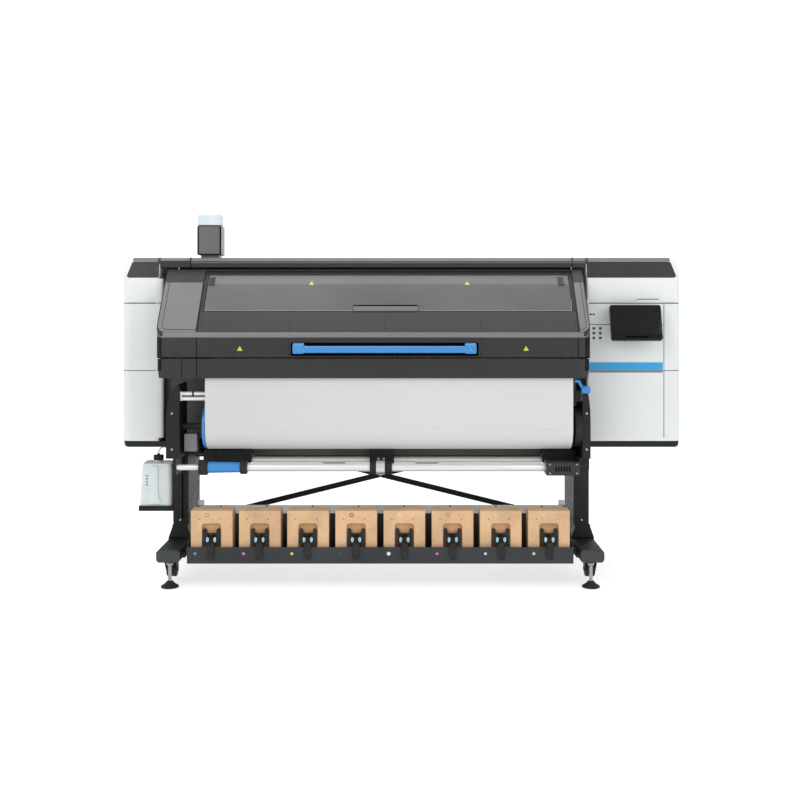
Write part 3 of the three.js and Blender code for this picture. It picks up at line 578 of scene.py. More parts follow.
def make_pods():
    for side, inner, node in ((-1, LEFT_INNER, "left_pod"), (1, RIGHT_INNER, "right_pod")):
        refine(node, WHITE, bevel=0.0012)
        z = POD_SEAMS[0]
        profile = [(-1.5, z - SEAM / 2), (0.4, z - SEAM / 2), (0.4, z + SEAM / 2), (-1.5, z + SEAM / 2)]
        moulding(node + "_seam", pod_path(side, inner), profile, SEAM_AND_SHADOW_GREY, "root", 0.0003)
        foot = [(-1.5, 612.6), (1.2, 612.6), (1.2, 622), (0.2, 626), (-1.5, 626)]
        moulding(node + "_foot_trim", pod_path(side, inner), foot, WHITE_EDGE, "root", 0.0005)
    cheek = LEFT_INNER + 20
    corner = [(LEFT_INNER - 15, POD_FRONT - 0.15), (cheek - 12, POD_FRONT - 0.1),
        (cheek - 5, POD_FRONT + 3), (cheek - 1, POD_FRONT + 8), (cheek, POD_FRONT + 14),
        (cheek, POD_FRONT + 17), (LEFT_INNER - 15, POD_FRONT + 17)]
    prisms("pod_cheek", "z", [(corner, 627, POD_SEAMS[0] - 2), (corner, POD_SEAMS[0] + 2, 1246),
        (corner, 1250, 1361)], WHITE, "root", 0.0006)
    front = POD_FRONT
    z = POD_SEAMS[1]
    blocks("door_seams", [((DOOR_EDGE - SEAM / 2, front - 0.5, 627),
        (DOOR_EDGE + SEAM / 2, front + 1, POD_SEAMS[0] - SEAM)),
        ((DOOR_EDGE - SEAM / 2, front - 0.5, POD_SEAMS[0] + SEAM), (DOOR_EDGE + SEAM / 2, front + 1, 1244)),
        ((RIGHT_INNER + 8, front - 0.5, z - SEAM / 2), (DOOR_EDGE - SEAM, front + 1, z + SEAM / 2))],
        SEAM_AND_SHADOW_GREY, "root", 0.0003)
    prisms("port_bezel", "y", [(rounded(863, 897, 1189, 1204, 4), front - 1.2, front + 0.5)], WHITE_EDGE,
        "root", 0.0005)
    prisms("port_sockets", "y", [(rounded(867, 880, 1193, 1200, 1.5), front - 1.6, front),
        (rounded(883, 893, 1193, 1200, 1.5), front - 1.6, front)], GLOSS_BLACK, "root", 0.0003)
    prisms("accent_strip", "y", [(rounded(866, 1206, 939.5, 975, 2), front - 1.6, front + 0.5)], STRIP_BLUE,
        "root", 0.0006)
    blocks("accent_line", [((866, front - 0.9, 928), (1206, front + 0.5, 934))], LIGHT_TRIM_AND_EDGE_HIGHLIGHT, "root", 0.0003)
    marks = []
    for row in range(3):
        for column in range(2):
            x, z = 882 + column * 30, 1082 + row * 22
            marks.append((rounded(x, x + 13, z, z + 12, 3), front - 0.7, front + 0.5))
    prisms("indicator_marks", "y", marks, SEAM_AND_SHADOW_GREY, "root", 0.0003)
    refine("base_frame", FRAME_BLACK, bevel=0.003)


def make_lids():
    shoulder, band_top, crown = 1361, 1442, 1458
    lean = (POD_FRONT + 122) / (band_top - shoulder)
    for side, inner, node in ((-1, LEFT_INNER, "left_pod_lid"), (1, RIGHT_INNER, "right_pod_lid")):
        body = BODY_OF[node]
        refine(node, WHITE_EDGE, bevel=0.004)
        near, foot, head = abs(inner) + 2, HALF_WIDTH - 22, HALF_WIDTH - 46
        outline = [(near, shoulder + 5), (foot - 10, shoulder + 5), (foot, shoulder + 12),
            (head + 2, band_top - 6), (head - 8, band_top - 1), (near, band_top - 1)]
        bm = bmesh.new()
        rings = []
        for lift in (-1.3, 1.0):
            rings.append([bm.verts.new(Vector((side * x, POD_FRONT + lift - lean * (z - shoulder), z)) * MM)
                for x, z in outline])
        skin(bm, rings)
        finish_piece(to_mesh(bm, node + "_band"), node + "_band", TRIM, body, 0.0008)
        x0, x1 = sorted((side * near, side * head))
        # The lid's top edge is light grey as a painted highlight.
        prisms(node + "_top_edge", "x", [([(-122.6, band_top), (-105, crown + 1), (-98, crown + 1),
            (-98, crown - 2), (-119, band_top - 2)], x0, x1)], LIGHT_TRIM_AND_EDGE_HIGHLIGHT, body, 0.0006)
        rim0, rim1 = sorted((side * (near - 1.9), side * (near + 9)))
        prisms(node + "_rim_cap", "x", [([(-125.6, band_top - 14), (-123.6, band_top), (-106, crown + 1.4),
            (-98, crown + 1.4), (-98, crown - 3), (-118, band_top - 14)], rim0, rim1)], TRIM, body, 0.0006)
        blocks(node + "_top_panel", [((x0, -96, crown - 1), (x1, POD_REAR - 14, crown + 1))], TRIM, body,
            0.001)
        shadow = [(-1.5, 1246.4), (0.3, 1246.4), (0.3, 1250), (-1.5, 1250)]
        moulding(node + "_foot_shadow", pod_path(side, inner), shadow, SEAM_AND_SHADOW_GREY, body, 0.0002)
    prisms("lid_grip", "y", [([(1081, 1250), (1194, 1250), (1188, 1267), (1087, 1267)], POD_FRONT - 1.2,
        POD_FRONT + 1)], WHITE_EDGE, "right_pod_lid", 0.0008)
    blocks("lid_grip_shadow", [((1086, POD_FRONT - 1.8, 1265), (1189, POD_FRONT - 0.4, 1268.5))], SEAM_AND_SHADOW_GREY,
        "right_pod_lid", 0.0003)


def make_centre_top():
    refine("rear_cover", TRIM, bevel=0.0015)
    left, right = -976, RIGHT_INNER - 4
    # The light line and the top edges are light grey as a painted highlight along the centre top's upper
    # edge.
    prisms("top_light_line", "x", [([(-122.8, 1434), (-121, 1434), (-121, 1438), (-122.8, 1438)], left,
        right)], LIGHT_TRIM_AND_EDGE_HIGHLIGHT, "root", 0.0003)
    prisms("top_edge", "x", [([(-121.5, 1443), (-104, 1459), (-98, 1459), (-98, 1456), (-119.5, 1440.5)],
        left, right)], LIGHT_TRIM_AND_EDGE_HIGHLIGHT, "root", 0.0004)
    prisms("top_edge_left", "x", [([(-121.5, 1446), (-104, 1459), (-98, 1459), (-98, 1456), (-119.5, 1443)],
        LEFT_INNER + 2, left - 3)], LIGHT_TRIM_AND_EDGE_HIGHLIGHT, "root", 0.0004)
    blocks("top_seams", [((x - 1.5, -122.8, 1415), (x + 1.5, -97, 1459.6)) for x in (left - 1.5, 792)],
        SEAM_AND_SHADE_BLACK, "root", 0.0003)
    blocks("top_panel_ribs", [((x, 60, 1457), (x + 8, 300, 1460.5)) for x in range(-700, 560, 60)], TRIM,
        "root", 0.001)


def make_back():
    """The unseen back: upright and level panel seams, louvres, screws and the power inlet."""
    rear = POD_REAR
    seams = [((x - 1.5, rear - 1, 614), (x + 1.5, rear + 0.5, 1456)) for x in (-560, -132, 296)]
    blocks("back_seams", seams, SEAM_AND_SHADE_BLACK, "root", 0.0003)
    blocks("back_level_seam", [((LEFT_INNER + 2, rear - 1, 1010), (RIGHT_INNER - 2, rear + 0.6, 1013))],
        SEAM_AND_SHADE_BLACK, "root", 0.0003)
    louvres = []
    for bank in (-900, 480):
        for row in range(12):
            z = 1102 + row * 18
            hood = [(rear - 1, z), (rear + 6, z), (rear + 6, z + 2), (rear - 1, z + 9)]
            louvres.append((hood, bank, bank + 240))
    prisms("back_louvres", "x", louvres, TRIM, "root", 0.0006)
    spots = [(x, rear, z) for x in (-1090, -580, -540, -150, -110, 276, 316, 830)
        for z in (640, 990, 1032, 1420)]
    screws("back_screws", spots, DARK_METAL, "root", 5, "y", 1)
    for side, x in (("left", -1205), ("right", 1073)):
        grille = [((x - 45, rear - 0.5, z), (x + 45, rear + 1.8, z + 5)) for z in range(700, 880, 16)]
        blocks("pod_grille_" + side, grille, SEAM_AND_SHADOW_GREY, "root", 0.001)
    prisms("power_inlet_frame", "y", [(rounded(1150, 1232, 640, 690, 5), rear - 0.5, rear + 5)], RUBBER,
        "root", 0.001)
    prisms("power_inlet_socket", "y", [(rounded(1158, 1190, 650, 680, 3), rear + 3, rear + 5.8)],
        GLOSS_BLACK, "root", 0.0005)
    blocks("power_switch", [((1202, rear + 3, 654), (1222, rear + 7.5, 676))], RUBBER, "root", 0.001)


# ---- Front cover, window and handle --------------------------------------------------------

COVER_LEFT, COVER_RIGHT, COVER_FRONT = -1084, 836, -385
COVER_CORNER = 45
PANEL_LEFT, PANEL_RIGHT, PANEL_RECESS = -905, 785, 9
WINDOW_LEFT, WINDOW_RIGHT = -887, 768
FOOT, KNEE, HEAD = Vector((-378, 1119)), Vector((-186, 1343)), Vector((-114, 1407))
LOWER, UPPER = (FOOT, KNEE), (KNEE, HEAD)
LOWER_LENGTH, UPPER_LENGTH = (KNEE - FOOT).length, (HEAD - KNEE).length
WINDOW_FOOT, WINDOW_HEAD = 132, 61           # up the lower and the upper face, in mm


def on_face(face, x, up, lift):
    """The point at x and a distance up a sloping face, raised off it by lift, in mm."""
    along = (face[1] - face[0]).normalized()
    place = face[0] + along * up + Vector((-along.y, along.x)) * lift
    return Vector((x, place.x, place.y)) * MM


def add_sheet(bm, face, outline, lift, depth):
    rings = []
    for level in (lift, lift - depth):
        rings.append([bm.verts.new(on_face(face, x, up, level)) for x, up in outline])
    skin(bm, rings)


def sheet(name, face, outlines, lift, depth, material, body="front_cover", bevel=0.0006):
    """Thin plates lying on a sloping face; each outline is in (x, distance up the face)."""
    bm = bmesh.new()
    for outline in outlines:
        add_sheet(bm, face, outline, lift, depth)
    return finish_piece(to_mesh(bm, name), name, material, body, bevel)


def strip(x0, x1, low, high):
    return [(x0, low), (x1, low), (x1, high), (x0, high)]


def corner_plate(outer, inner, low, high, radius, steps=6):
    """A plate's outline with one round corner, at its outer foot."""
    way = 1 if inner > outer else -1
    points = [(inner, high), (outer, high)]
    for step in range(steps + 1):
        angle = math.radians(90 * step / steps)
        points.append((outer + way * radius * (1 - math.cos(angle)), low + radius * (1 - math.sin(angle))))
    return points + [(inner, low)]


def cover_corners():
    """The level plan paths round the cover's left and right front corners."""
    y = COVER_FRONT + COVER_CORNER
    left = arc_path((COVER_LEFT + COVER_CORNER, y), COVER_CORNER, 180, 270)
    right = arc_path((COVER_RIGHT - COVER_CORNER, y), COVER_CORNER, 270, 360)
    return left, right


def rim_path():
    """The edge of the cover's sloping face: up one side, along the front and up the other side."""
    left, right = cover_corners()
    start = ((COVER_LEFT, KNEE.x), (-1, 0), 0)
    end = ((COVER_RIGHT, KNEE.x), (1, 0), 0)
    climb = (KNEE.y - FOOT.y) / (KNEE.x - FOOT.x)
    return [(place, normal, max(0, (place[1] - FOOT.x) * climb)) for place, normal,
        _ in [start] + left + right + [end]]


def make_front_cover():
    refine("front_cover", CHARCOAL, bevel=0.002)
    # The lip round the sloping face is mid grey as a painted reflection on its chamfer.
    lip = [(0.8, 1098), (0.8, 1101), (-5.6, 1121), (-12, 1121), (-12, 1098)]
    moulding("cover_lip", rim_path(), lip, PALE_GREY_AND_SLOPE_REFLECTION, "front_cover", 0.0008)
    line = [(0.5, 1006.5), (0.5, 1011), (-3, 1011), (-3, 1006.5)]
    left_corner, right_corner = cover_corners()
    moulding("cover_foot_line", left_corner + right_corner, line, SEAM_AND_SHADE_BLACK, "front_cover", 0.0003)
    # Near-black strips round the cover's front corners: painted shade on the turned facets.
    turn = [(0.5, 1011.5), (0.5, 1097.5), (-2, 1097.5), (-2, 1011.5)]
    moulding("cover_corner_left", left_corner[:-2], turn, CORNER_SHADE, "front_cover", 0.0002)
    moulding("cover_corner_right", right_corner[2:], turn, CORNER_SHADE, "front_cover", 0.0002)
    top = LOWER_LENGTH - 1
    for side, outer, inner in (("left", COVER_LEFT + 5, PANEL_LEFT - 3),
            ("right", COVER_RIGHT - 5, PANEL_RIGHT + 3)):
        way = 1 if inner > outer else -1
        edge = 18 if side == "left" else 12
        # The end rims and end panels on the lower slope are mid grey as a painted reflection; the cover
        # itself is charcoal.
        sheet("cover_end_rim_" + side, LOWER, [corner_plate(outer, inner, 3, top, 42)], 1.2, 2.4,
            PALE_GREY_AND_SLOPE_REFLECTION)
        sheet("cover_end_groove_" + side, LOWER, [corner_plate(outer + way * edge, inner, 16, top, 26)],
            1.5, 1, SEAM_AND_SHADE_BLACK, bevel=0.0002)
        sheet("cover_end_panel_" + side, LOWER, [corner_plate(outer + way * (edge + 2), inner, 18, top,
            24)], 2.0, 1.2, PALE_GREY_AND_SLOPE_REFLECTION)
        sheet("cover_end_head_" + side, UPPER, [strip(*sorted((outer, inner)), 1, UPPER_LENGTH - 3)], 1.2,
            2.4, CHARCOAL)
    recess = -PANEL_RECESS
    sheet("cover_middle_panel", LOWER, [strip(PANEL_LEFT + 1, PANEL_RIGHT - 1, 9, WINDOW_FOOT - 4)],
        recess + 0.8, 1.6, COVER_PANEL)
    holes = [(x, up) for x in (-496, -72, 352) for up in (30, 52, 74)]
    holes += [(-897, 12), (-893, 52), (777, 12), (773, 52)]
    sheet("cover_panel_holes", LOWER, [round_spot(x, up, 2.6) for x, up in holes], recess + 1.1, 1,
        SEAM_AND_SHADE_BLACK, bevel=0)
    sheet("window_head_trim", UPPER, [strip(PANEL_LEFT + 1, PANEL_RIGHT - 1, WINDOW_HEAD + 3, 82)],
        recess + 1, 2, CHARCOAL)
    front = COVER_FRONT
    blocks("fascia_seams", [((x - 1.7, front - 0.5, 1012), (x + 1.4, front + 1, 1097))
        for x in (-901, 778)], SEAM_AND_SHADE_BLACK, "front_cover", 0.0002)
    marks = [([(x - 12, 1040), (x + 12, 1040), (x, 1061)], front - 0.7, front + 0.4) for x in (-711, 548)]
    prisms("fascia_triangles", "y", marks, YELLOW, "front_cover", 0.0003)
    dots = [(round_spot(x, z, 2.4), front - 0.5, front + 0.5) for x in (-496, 352) for z in (1022, 1088)]
    prisms("fascia_holes", "y", dots, SEAM_AND_SHADE_BLACK, "front_cover", 0)
    back = front + 12
    # A near-black sheet at the back of the handle recess: painted shade above and below the handle bar.
    blocks("handle_recess_lining", [((-485, back - 1.2, 1019), (337, back - 0.2, 1073))], SEAM_AND_SHADE_BLACK,
        "front_cover", 0.0004)


def make_lower_fascia():
    refine("lower_fascia", CHARCOAL, bevel=0.002)
    # Near-black strips round the fascia's front corners: painted shade on the turned facets.
    turn = [(0.4, 950), (0.4, 1003), (-2, 1003), (-2, 950)]
    left_corner, right_corner = cover_corners()
    moulding("fascia_corner_left", left_corner[3:-2], turn, CORNER_SHADE, "root", 0.0002)
    moulding("fascia_corner_right", right_corner[2:-3], turn, CORNER_SHADE, "root", 0.0002)
    front = COVER_FRONT
    seams = [((x - 1.5, front - 0.5, 921), (x + 1.5, front + 1, 1003)) for x in (-966, -901)]
    blocks("lower_fascia_seams", seams, SEAM_AND_SHADE_BLACK, "root", 0.0002)
    spots = [(round_spot(x, z, 2.4), front - 0.5, front + 0.5) for x,
        z in ((-496, 958), (-72, 958), (-84, 958), (352, 958), (-72, 994), (716, 1000))]
    prisms("lower_fascia_holes", "y", spots, SEAM_AND_SHADE_BLACK, "root", 0)


def make_handle():
    low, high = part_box("front_handle")
    left, right = low.x / MM, high.x / MM
    front, back = -425, -405
    bar = prisms("handle_bar", "x", [(rounded(front, back, 1031, 1062, 9.8, 8), left + 2, right - 2)], BLUE,
        "front_cover", 0.002, 3)
    stand_for(bar, "front_handle")
    seat = COVER_FRONT + 11.5
    cap = [(front - 0.9, 1028), (back + 1, 1028), (seat, 1036), (seat, 1070), (back + 1, 1075),
        (front + 6, 1070), (front - 0.9, 1060)]
    for name, x0 in (("left", left), ("right", right - 50)):
        prisms("handle_bracket_" + name, "x", [(cap, x0, x0 + 50)], BLUE, "front_cover", 0.005, 3)
        screws("handle_screw_" + name, [(x0 + 25, front - 0.9, 1045)], DARK_METAL, "front_cover", 4)


def make_window():
    refine("window", WINDOW, bevel=0.001)
    level = -PANEL_RECESS
    grip_left, grip_right = -216, 75
    foot = WINDOW_FOOT + 0.5
    # The foot edge's mid grey is a painted reflection on the slope.
    sheet("window_foot_edge", LOWER, [strip(WINDOW_LEFT + 1, grip_left - 2, foot, foot + 6),
        strip(grip_right + 2, WINDOW_RIGHT - 1, foot, foot + 6)], level + 0.9, 2, PALE_GREY_AND_SLOPE_REFLECTION, "window")
    sheet("window_grip_lip", LOWER, [strip(grip_left + 1, grip_right - 1, foot - 4, foot + 25)],
        level + 4.5, 3, LIGHT_TRIM_AND_EDGE_HIGHLIGHT, "window", 0.0012)
    # The near-black strip above the grip lip is a painted shadow.
    sheet("window_grip_slot", LOWER, [strip(grip_left, grip_right, foot + 25, foot + 35)], level + 1, 2,
        SEAM_AND_SHADE_BLACK, "window", 0.0003)
    sheet("window_head_edge", UPPER, [strip(WINDOW_LEFT + 1, WINDOW_RIGHT - 1, WINDOW_HEAD - 5,
        WINDOW_HEAD - 1)], level + 0.8, 1.6, LIGHT_TRIM_AND_EDGE_HIGHLIGHT, "window")
    hinges = [strip(x, x + 26, -8, 44) for x in (WINDOW_LEFT + 4, WINDOW_RIGHT - 50)]
    sheet("window_stays", UPPER, hinges, level + 3, 4, TRIM, "window", 0.001)
    triangles = [[(x - 12, -6), (x + 12, -6), (x, 18)] for x in (-412, 301)]
    sheet("window_triangles", UPPER, triangles, level + 0.6, 1, YELLOW, "window", 0)


# ---- Printing section, operator's panel and beacon -----------------------------------------

def make_print_zone():
    refine("platen", METAL, bevel=0.0008)
    holes = []
    for row in range(3):
        for column in range(40):
            holes.append((round_spot(-1020 + column * 46, -300 + row * 90, 3, 8), 996.4, 997.2))
    prisms("platen_holes", "z", holes, SEAM_AND_SHADE_BLACK, "root", 0)
    refine("carriage_rail", METAL, bevel=0.001)
    blocks("rail_bearings", [((LEFT_INNER + 6, 112, 1132), (1280, 118, 1142))], DARK_METAL, "root", 0.0015)
    spots = [(x, 60, 1130) for x in range(-1050, 1260, 110)]
    screws("rail_screws", spots, DARK_METAL, "root", 4)
    make_carriage()


def make_carriage():
    refine("carriage", TRIM, bevel=0.003)
    low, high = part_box("carriage")
    left, right = low.x / MM, high.x / MM
    heads = [((left + 14 + i * 44, -96, 1005), (left + 44 + i * 44, 30, 1011)) for i in range(4)]
    blocks("print_heads", heads, METAL, "carriage", 0.001)
    prisms("carriage_label_plate", "x", [([(-121, 1068), (-119, 1068), (-119, 1140), (-121, 1140)],
        left + 20, right - 20)], PALE_GREY_AND_SLOPE_REFLECTION, "carriage", 0.0004)
    spots = [(x, -120, z) for x in (left + 10, right - 10) for z in (1070, 1140)]
    screws("carriage_screws", spots, DARK_METAL, "carriage", 4)


def make_display():
    refine("display_mount", TRIM, bevel=0.001)
    refine("display_housing", GLOSS_BLACK, bevel=0.0015)
    pivot = Vector((-198, 1110))
    tilt = math.radians(-18)
    front = -16 - 18 - 3

    def place(x, out, up):
        """A point on the tilted panel: across, in front of its face and up from the pivot."""
        y = front - out
        turned_y = y * math.cos(tilt) - up * math.sin(tilt)
        turned_z = y * math.sin(tilt) + up * math.cos(tilt)
        return Vector((1068 + x, pivot.x + turned_y, pivot.y + turned_z)) * MM

    def plate(name, outline, out, depth, material, bevel):
        bm = bmesh.new()
        rings = []
        for level in (out, out - depth):
            rings.append([bm.verts.new(place(x, level, up)) for x, up in outline])
        skin(bm, rings)
        finish_piece(to_mesh(bm, name), name, material, "display", bevel)

    plate("display_glass", rounded(-104, 104, -6, 116, 5), 0.9, 1.2, SCREEN, 0.0004)
    plate("display_chin", rounded(-112, 112, -36, -9, 6), 1.2, 1.6, GLOSS_BLACK, 0.0006)
    plate("display_button", rounded(-52, 52, -30, -22, 3), 2.0, 1.2, SEAM_AND_SHADE_BLACK, 0.0004)


def make_beacon():
    refine("beacon_stand", LENS_GREY, bevel=0.003)
    refine("beacon_lens", LENS_CLEAR, bevel=0.003)
    blocks("beacon_cap", [((-954, -75.6, 1612), (-845, -10, 1665))], LENS_CLEAR, "root", 0.005)
    blocks("beacon_joint", [((-950, -76, 1608.6), (-849, -71, 1611.4))], SEAM_AND_SHADE_BLACK, "root", 0.0004)
    edges = [((x - 2.5, -75.8, 1476), (x + 2.5, -66, 1607)) for x in (-952, -847)]
    blocks("beacon_edges", edges, SEAM_AND_SHADE_BLACK, "root", 0.001)
    blocks("beacon_foot_line", [((-948, -75.9, 1474.5), (-851, -70, 1479))], SEAM_AND_SHADE_BLACK, "root", 0.0006)


# ---- Media path ----------------------------------------------------------------------------

ROLL_AXIS = (-266, 695)
TAKE_UP_AXIS = (-330, 519)
DIVERTER_AXIS = (-200, 535)


def make_media():
    refine("media_roll", MEDIA, bevel=0.0012)
    refine("media_web", MEDIA, bevel=0.0002, segments=1)
    y, z = ROLL_AXIS
    winding = [(758.2, 101), (758.9, 98), (758.2, 92), (758.9, 86), (758.2, 80), (758.9, 72), (758.2, 64),
        (758.9, 54), (758.2, 46), (758.6, 39)]
    turned("roll_winding_right", "x", [((y, z), winding)], MEDIA, "supply_roll", 0, 64)
    turned("roll_winding_left", "x", [((y, z), [(-109.2 - along, radius) for along, radius in winding])],
        MEDIA, "supply_roll", 0, 64)


def make_supply_spindle():
    refine("supply_spindle", RUBBER, bevel=0.001)
    flange = [(-884, 60), (-884, 92), (-882, 95.8), (-871, 95.8), (-868.4, 92), (-868.4, 60)]
    turned("supply_flange", "x", [(ROLL_AXIS, flange)], BLUE, "supply_roll", 0.0006, 64)
    steps = [(772.4, 60)]
    for rib in range(4):
        x = 773 + rib * 6.5
        steps += [(x, 90.8), (x + 5, 90.8), (x + 5.4, 87), (x + 6.2, 87)]
    steps += [(799, 90.8), (800.5, 88), (800.5, 60)]
    turned("supply_hub_ribs", "x", [(ROLL_AXIS, steps)], RUBBER, "supply_roll", 0, 64)


def make_guide_bars():
    refine("guide_bars", PALE_BAR, bevel=0.0008)
    blocks("guide_bar_shield", [((764, -338.5, 812), (800, -335.5, 860))], FRAME_BLACK, "root", 0.0008)
    rings = []
    for x in range(-930, 740, 120):
        rings.append(((-326, 847), [(x, 8), (x, 10.4), (x + 8, 10.4), (x + 8, 8)]))
    turned("guide_bar_rings", "x", rings, RUBBER, "root", 0.0006, 24)


def make_take_up():
    axis, body = TAKE_UP_AXIS, "take_up_bar"
    bar = turned("take_up_tube", "x", [(axis, [(-866, 12), (-866, 17.4), (-865, 18), (640, 18), (641.7, 17),
        (641.7, 12)])], PALE_BAR, body, 0.0004)
    stand_for(bar, "take_up_spindle")
    collars = [(axis, [(-899, 20), (-899, 31), (-896, 34), (-864, 34), (-860.3, 31), (-860.3, 20)]),
        (axis, [(-715.7, 19), (-715.7, 27), (-713, 30), (-689, 30), (-685, 27), (-685, 19)])]
    turned("take_up_collars", "x", collars, RUBBER, body, 0.0008)
    saddle = [(-140, 17), (-140, 27), (-138, 29), (-44, 29), (-42, 27), (-42, 17)]
    turned("take_up_saddle", "x", [(axis, saddle)], FRAME_BLACK, body, 0.0008)
    band = [(-112, 28), (-112, 30.5), (-74, 30.5), (-74, 28)]
    turned("saddle_band", "x", [(axis, band)], METAL, body, 0.0004)
    turned("take_up_stub", "x", [(axis, [(-999.7, 8), (-999.7, 11), (-996, 13), (-899, 13), (-899, 8)])],
        PALE_BAR, body, 0.0006)
    hub = turned("take_up_hub_fine", "x", [(axis, [(-860, 18.4), (-860, 23.4), (-858, 25), (-722, 22.6),
        (-716, 22), (-716, 18.4)])], BLUE, body, 0.0008)
    stand_for(hub, "take_up_hub")
    refine("take_up_motor", TRIM, bevel=0.002)
    y, z = axis
    screws("motor_screws", [(x, y - 34, z + dz) for x in (656, 775) for dz in (-22, 17)], DARK_METAL,
        "root", 4)
    blocks("motor_vents", [((680 + i * 12, y - 35, z - 14), (686 + i * 12, y - 33.4, z + 8))
        for i in range(6)], SEAM_AND_SHADE_BLACK, "root", 0.0006)


def make_diverter():
    axis, body = DIVERTER_AXIS, "diverter_bar"
    bar = [(-681.7, 9), (-681.7, 13.6), (-680, 14.7), (638, 14.7), (639.7, 13.6), (639.7, 9)]
    piece = turned("diverter_bar_fine", "x", [(axis, bar)], PALE_BAR, body, 0.0006)
    stand_for(piece, "diverter_bar")
    rings = [(axis, [(x0, 14), (x0, 26), (x0 + 3, 28.5), (x1 - 3, 28.5), (x1, 26), (x1, 14)]) for x0,
        x1 in ((-144, -112), (-70, -34))]
    turned("diverter_rings", "x", rings, RUBBER, body, 0.0008)
    turned("diverter_sleeve", "x", [(axis, [(-112, 14), (-112, 21), (-110, 22.5), (-72, 22.5), (-70, 21),
        (-70, 14)])], METAL, body, 0.0006)


def make_lever():
    refine("spindle_lever", BLUE, bevel=0.002)
    knob = [(795, 8), (795, 14), (798, 16.6), (812, 16.9), (829, 16.6), (833, 13), (833.6, 6)]
    turned("spindle_lever_knob", "x", [((-362, 866), knob)], BLUE, "spindle_lever", 0, 32)
    turned("spindle_lever_pin", "x", [((-362, 905), [(766.6, 3), (766.6, 5.4), (768.4, 6), (785.4, 6),
        (785.4, 3)])], DARK_METAL, "spindle_lever", 0.0003, 16)


# ---- Stand ---------------------------------------------------------------------------------

FOOT_CENTRES = {"left": -1018, "right": 833}
CORNERS = [(end, side) for side in ("left", "right") for end in ("front", "rear")]
LEVELLER_Y, CASTER_Y, CASTER_TRAIL, CASTER_OFFSET = 385, 280, 18, 14
COLUMNS = {"left": (-1048, -978), "right": (791, 861)}


def make_foot_beams():
    for side, x in FOOT_CENTRES.items():
        refine(side + "_foot_beam", FRAME_BLACK, bevel=0.002)
        face = [(x - 42, 118), (x + 42, 118), (x + 51.5, 127.5), (x + 51.5, 161.5), (x + 42, 171),
            (x - 42, 171), (x - 51.5, 161.5), (x - 51.5, 127.5)]
        prisms(side + "_foot_caps", "y", [(face, -426.8, -424), (face, 424, 426.8)], END_CAP, "root", 0.001)
        blocks(side + "_foot_joint", [((x - 44, -172, 171), (x + 44, -168.4, 173.4))], SEAM_AND_SHADE_BLACK, "root",
            0.0005)
        for way, word in ((-1, "outer"), (1, "inner")):
            bolts = [(x + way * 52.5, y, 145) for y in (-400, -340, 340, 400)]
            screws("%s_foot_bolts_%s" % (side, word), bolts, RUBBER, "root", 7, "x", way)


def make_feet():
    for end, side in CORNERS:
        node = "levelling_foot_%s_%s" % (end, side)
        x, y = FOOT_CENTRES[side], LEVELLER_Y * (-1 if end == "front" else 1)
        pad = [(0, 30), (0.2, 36), (2, 39), (6.5, 39), (9, 37), (12, 30), (17, 24), (23, 17), (27.6, 14.6),
            (28, 9)]
        piece = turned("%s_pad" % node, "z", [((x, y), pad)], RUBBER, node, 0.0004, 40)
        stand_for(piece, node)
        stem = [(27, 5)]
        for turn in range(22):
            z = 28 + turn * 5.4
            stem += [(z, 7.2), (z + 2.7, 8)]
        stem += [(149.4, 7), (149.6, 3)]
        turned("%s_thread" % node, "z", [((x, y), stem)], DARK_METAL, node, 0, 20)
        nut = [(97.8, 9), (97.8, 13), (99, 14.4), (107, 14.4), (108.2, 13), (108.2, 9)]
        turned("%s_nut" % node, "z", [((x, y), nut)], DARK_METAL, node, 0.0003, 6)


def make_casters():
    for end, side in CORNERS:
        corner = "%s_%s" % (end, side)
        x = FOOT_CENTRES[side] + CASTER_OFFSET * (-1 if side == "left" else 1)
        y = CASTER_Y * (-1 if end == "front" else 1)
        refine("caster_fork_" + corner, FRAME_BLACK, bevel=0.0012)
        axle = (y + CASTER_TRAIL, 54)
        tyre = []
        for level, radius in ((-21.4, 6), (-21.6, 22), (-21.4, 32), (-18, 35.4), (-9, 36), (-8, 34.6),
                (8, 34.6), (9, 36), (18, 35.4), (21.4, 32), (21.6, 22), (21.4, 6)):
            tyre.append((x + level, radius))
        wheel = "caster_wheel_" + corner
        piece = turned("caster_tyre_" + corner, "x", [(axle, tyre)], RUBBER, wheel, 0, 40, bored=True)
        stand_for(piece, wheel)
        hub = [(axle, [(x + s * 21.2, 8), (x + s * 21.9, 17), (x + s * 21.2, 20)]) for s in (-1, 1)]
        turned("caster_hub_" + corner, "x", hub, TRIM, wheel, 0, 32, bored=True)
        swivel = "caster_swivel_" + corner
        nut = [(25.6, 3), (25.6, 6.4), (28.6, 6.4), (28.6, 3)]
        nuts = [(axle, [(x + way * out, radius) for out, radius in nut]) for way in (-1, 1)]
        turned("caster_nut_" + corner, "x", nuts, DARK_METAL, swivel, 0, 6)


def make_columns():
    for side, (low, high) in COLUMNS.items():
        refine(side + "_column", FRAME_BLACK, bevel=0.002)
        x = (low + high) / 2
        spots = [(x, -178, z) for z in (255, 500, 570)]
        screws(side + "_column_bolts", spots, DARK_METAL, "root", 5)
        outer, out = (low, -1) if side == "left" else (high, 1)
        screws(side + "_column_side_bolts", [(outer, y, z) for y in (-120, 70) for z in (300, 545)],
            DARK_METAL, "root", 6, "x", out)
    blocks("left_column_slot", [((-1007, -178.6, 262), (-1001, -177.4, 470))], SEAM_AND_SHADE_BLACK, "root", 0.0004)
    y, z = ROLL_AXIS
    for side, x, out in (("left", -984, -1), ("right", 803, 1)):
        profile = [(x + out * 2, 20), (x + out * 2, 31), (x + out * 30, 31), (x + out * 34, 26),
            (x + out * 34, 12)]
        turned("spindle_bearing_" + side, "x", [((y, z), profile)], DARK_METAL, "root", 0.0006, 40)
    spots = [(x, -345, z) for x in (-1018, 822) for z in (600, 760)]
    screws("arm_screws", spots, DARK_METAL, "root", 5)


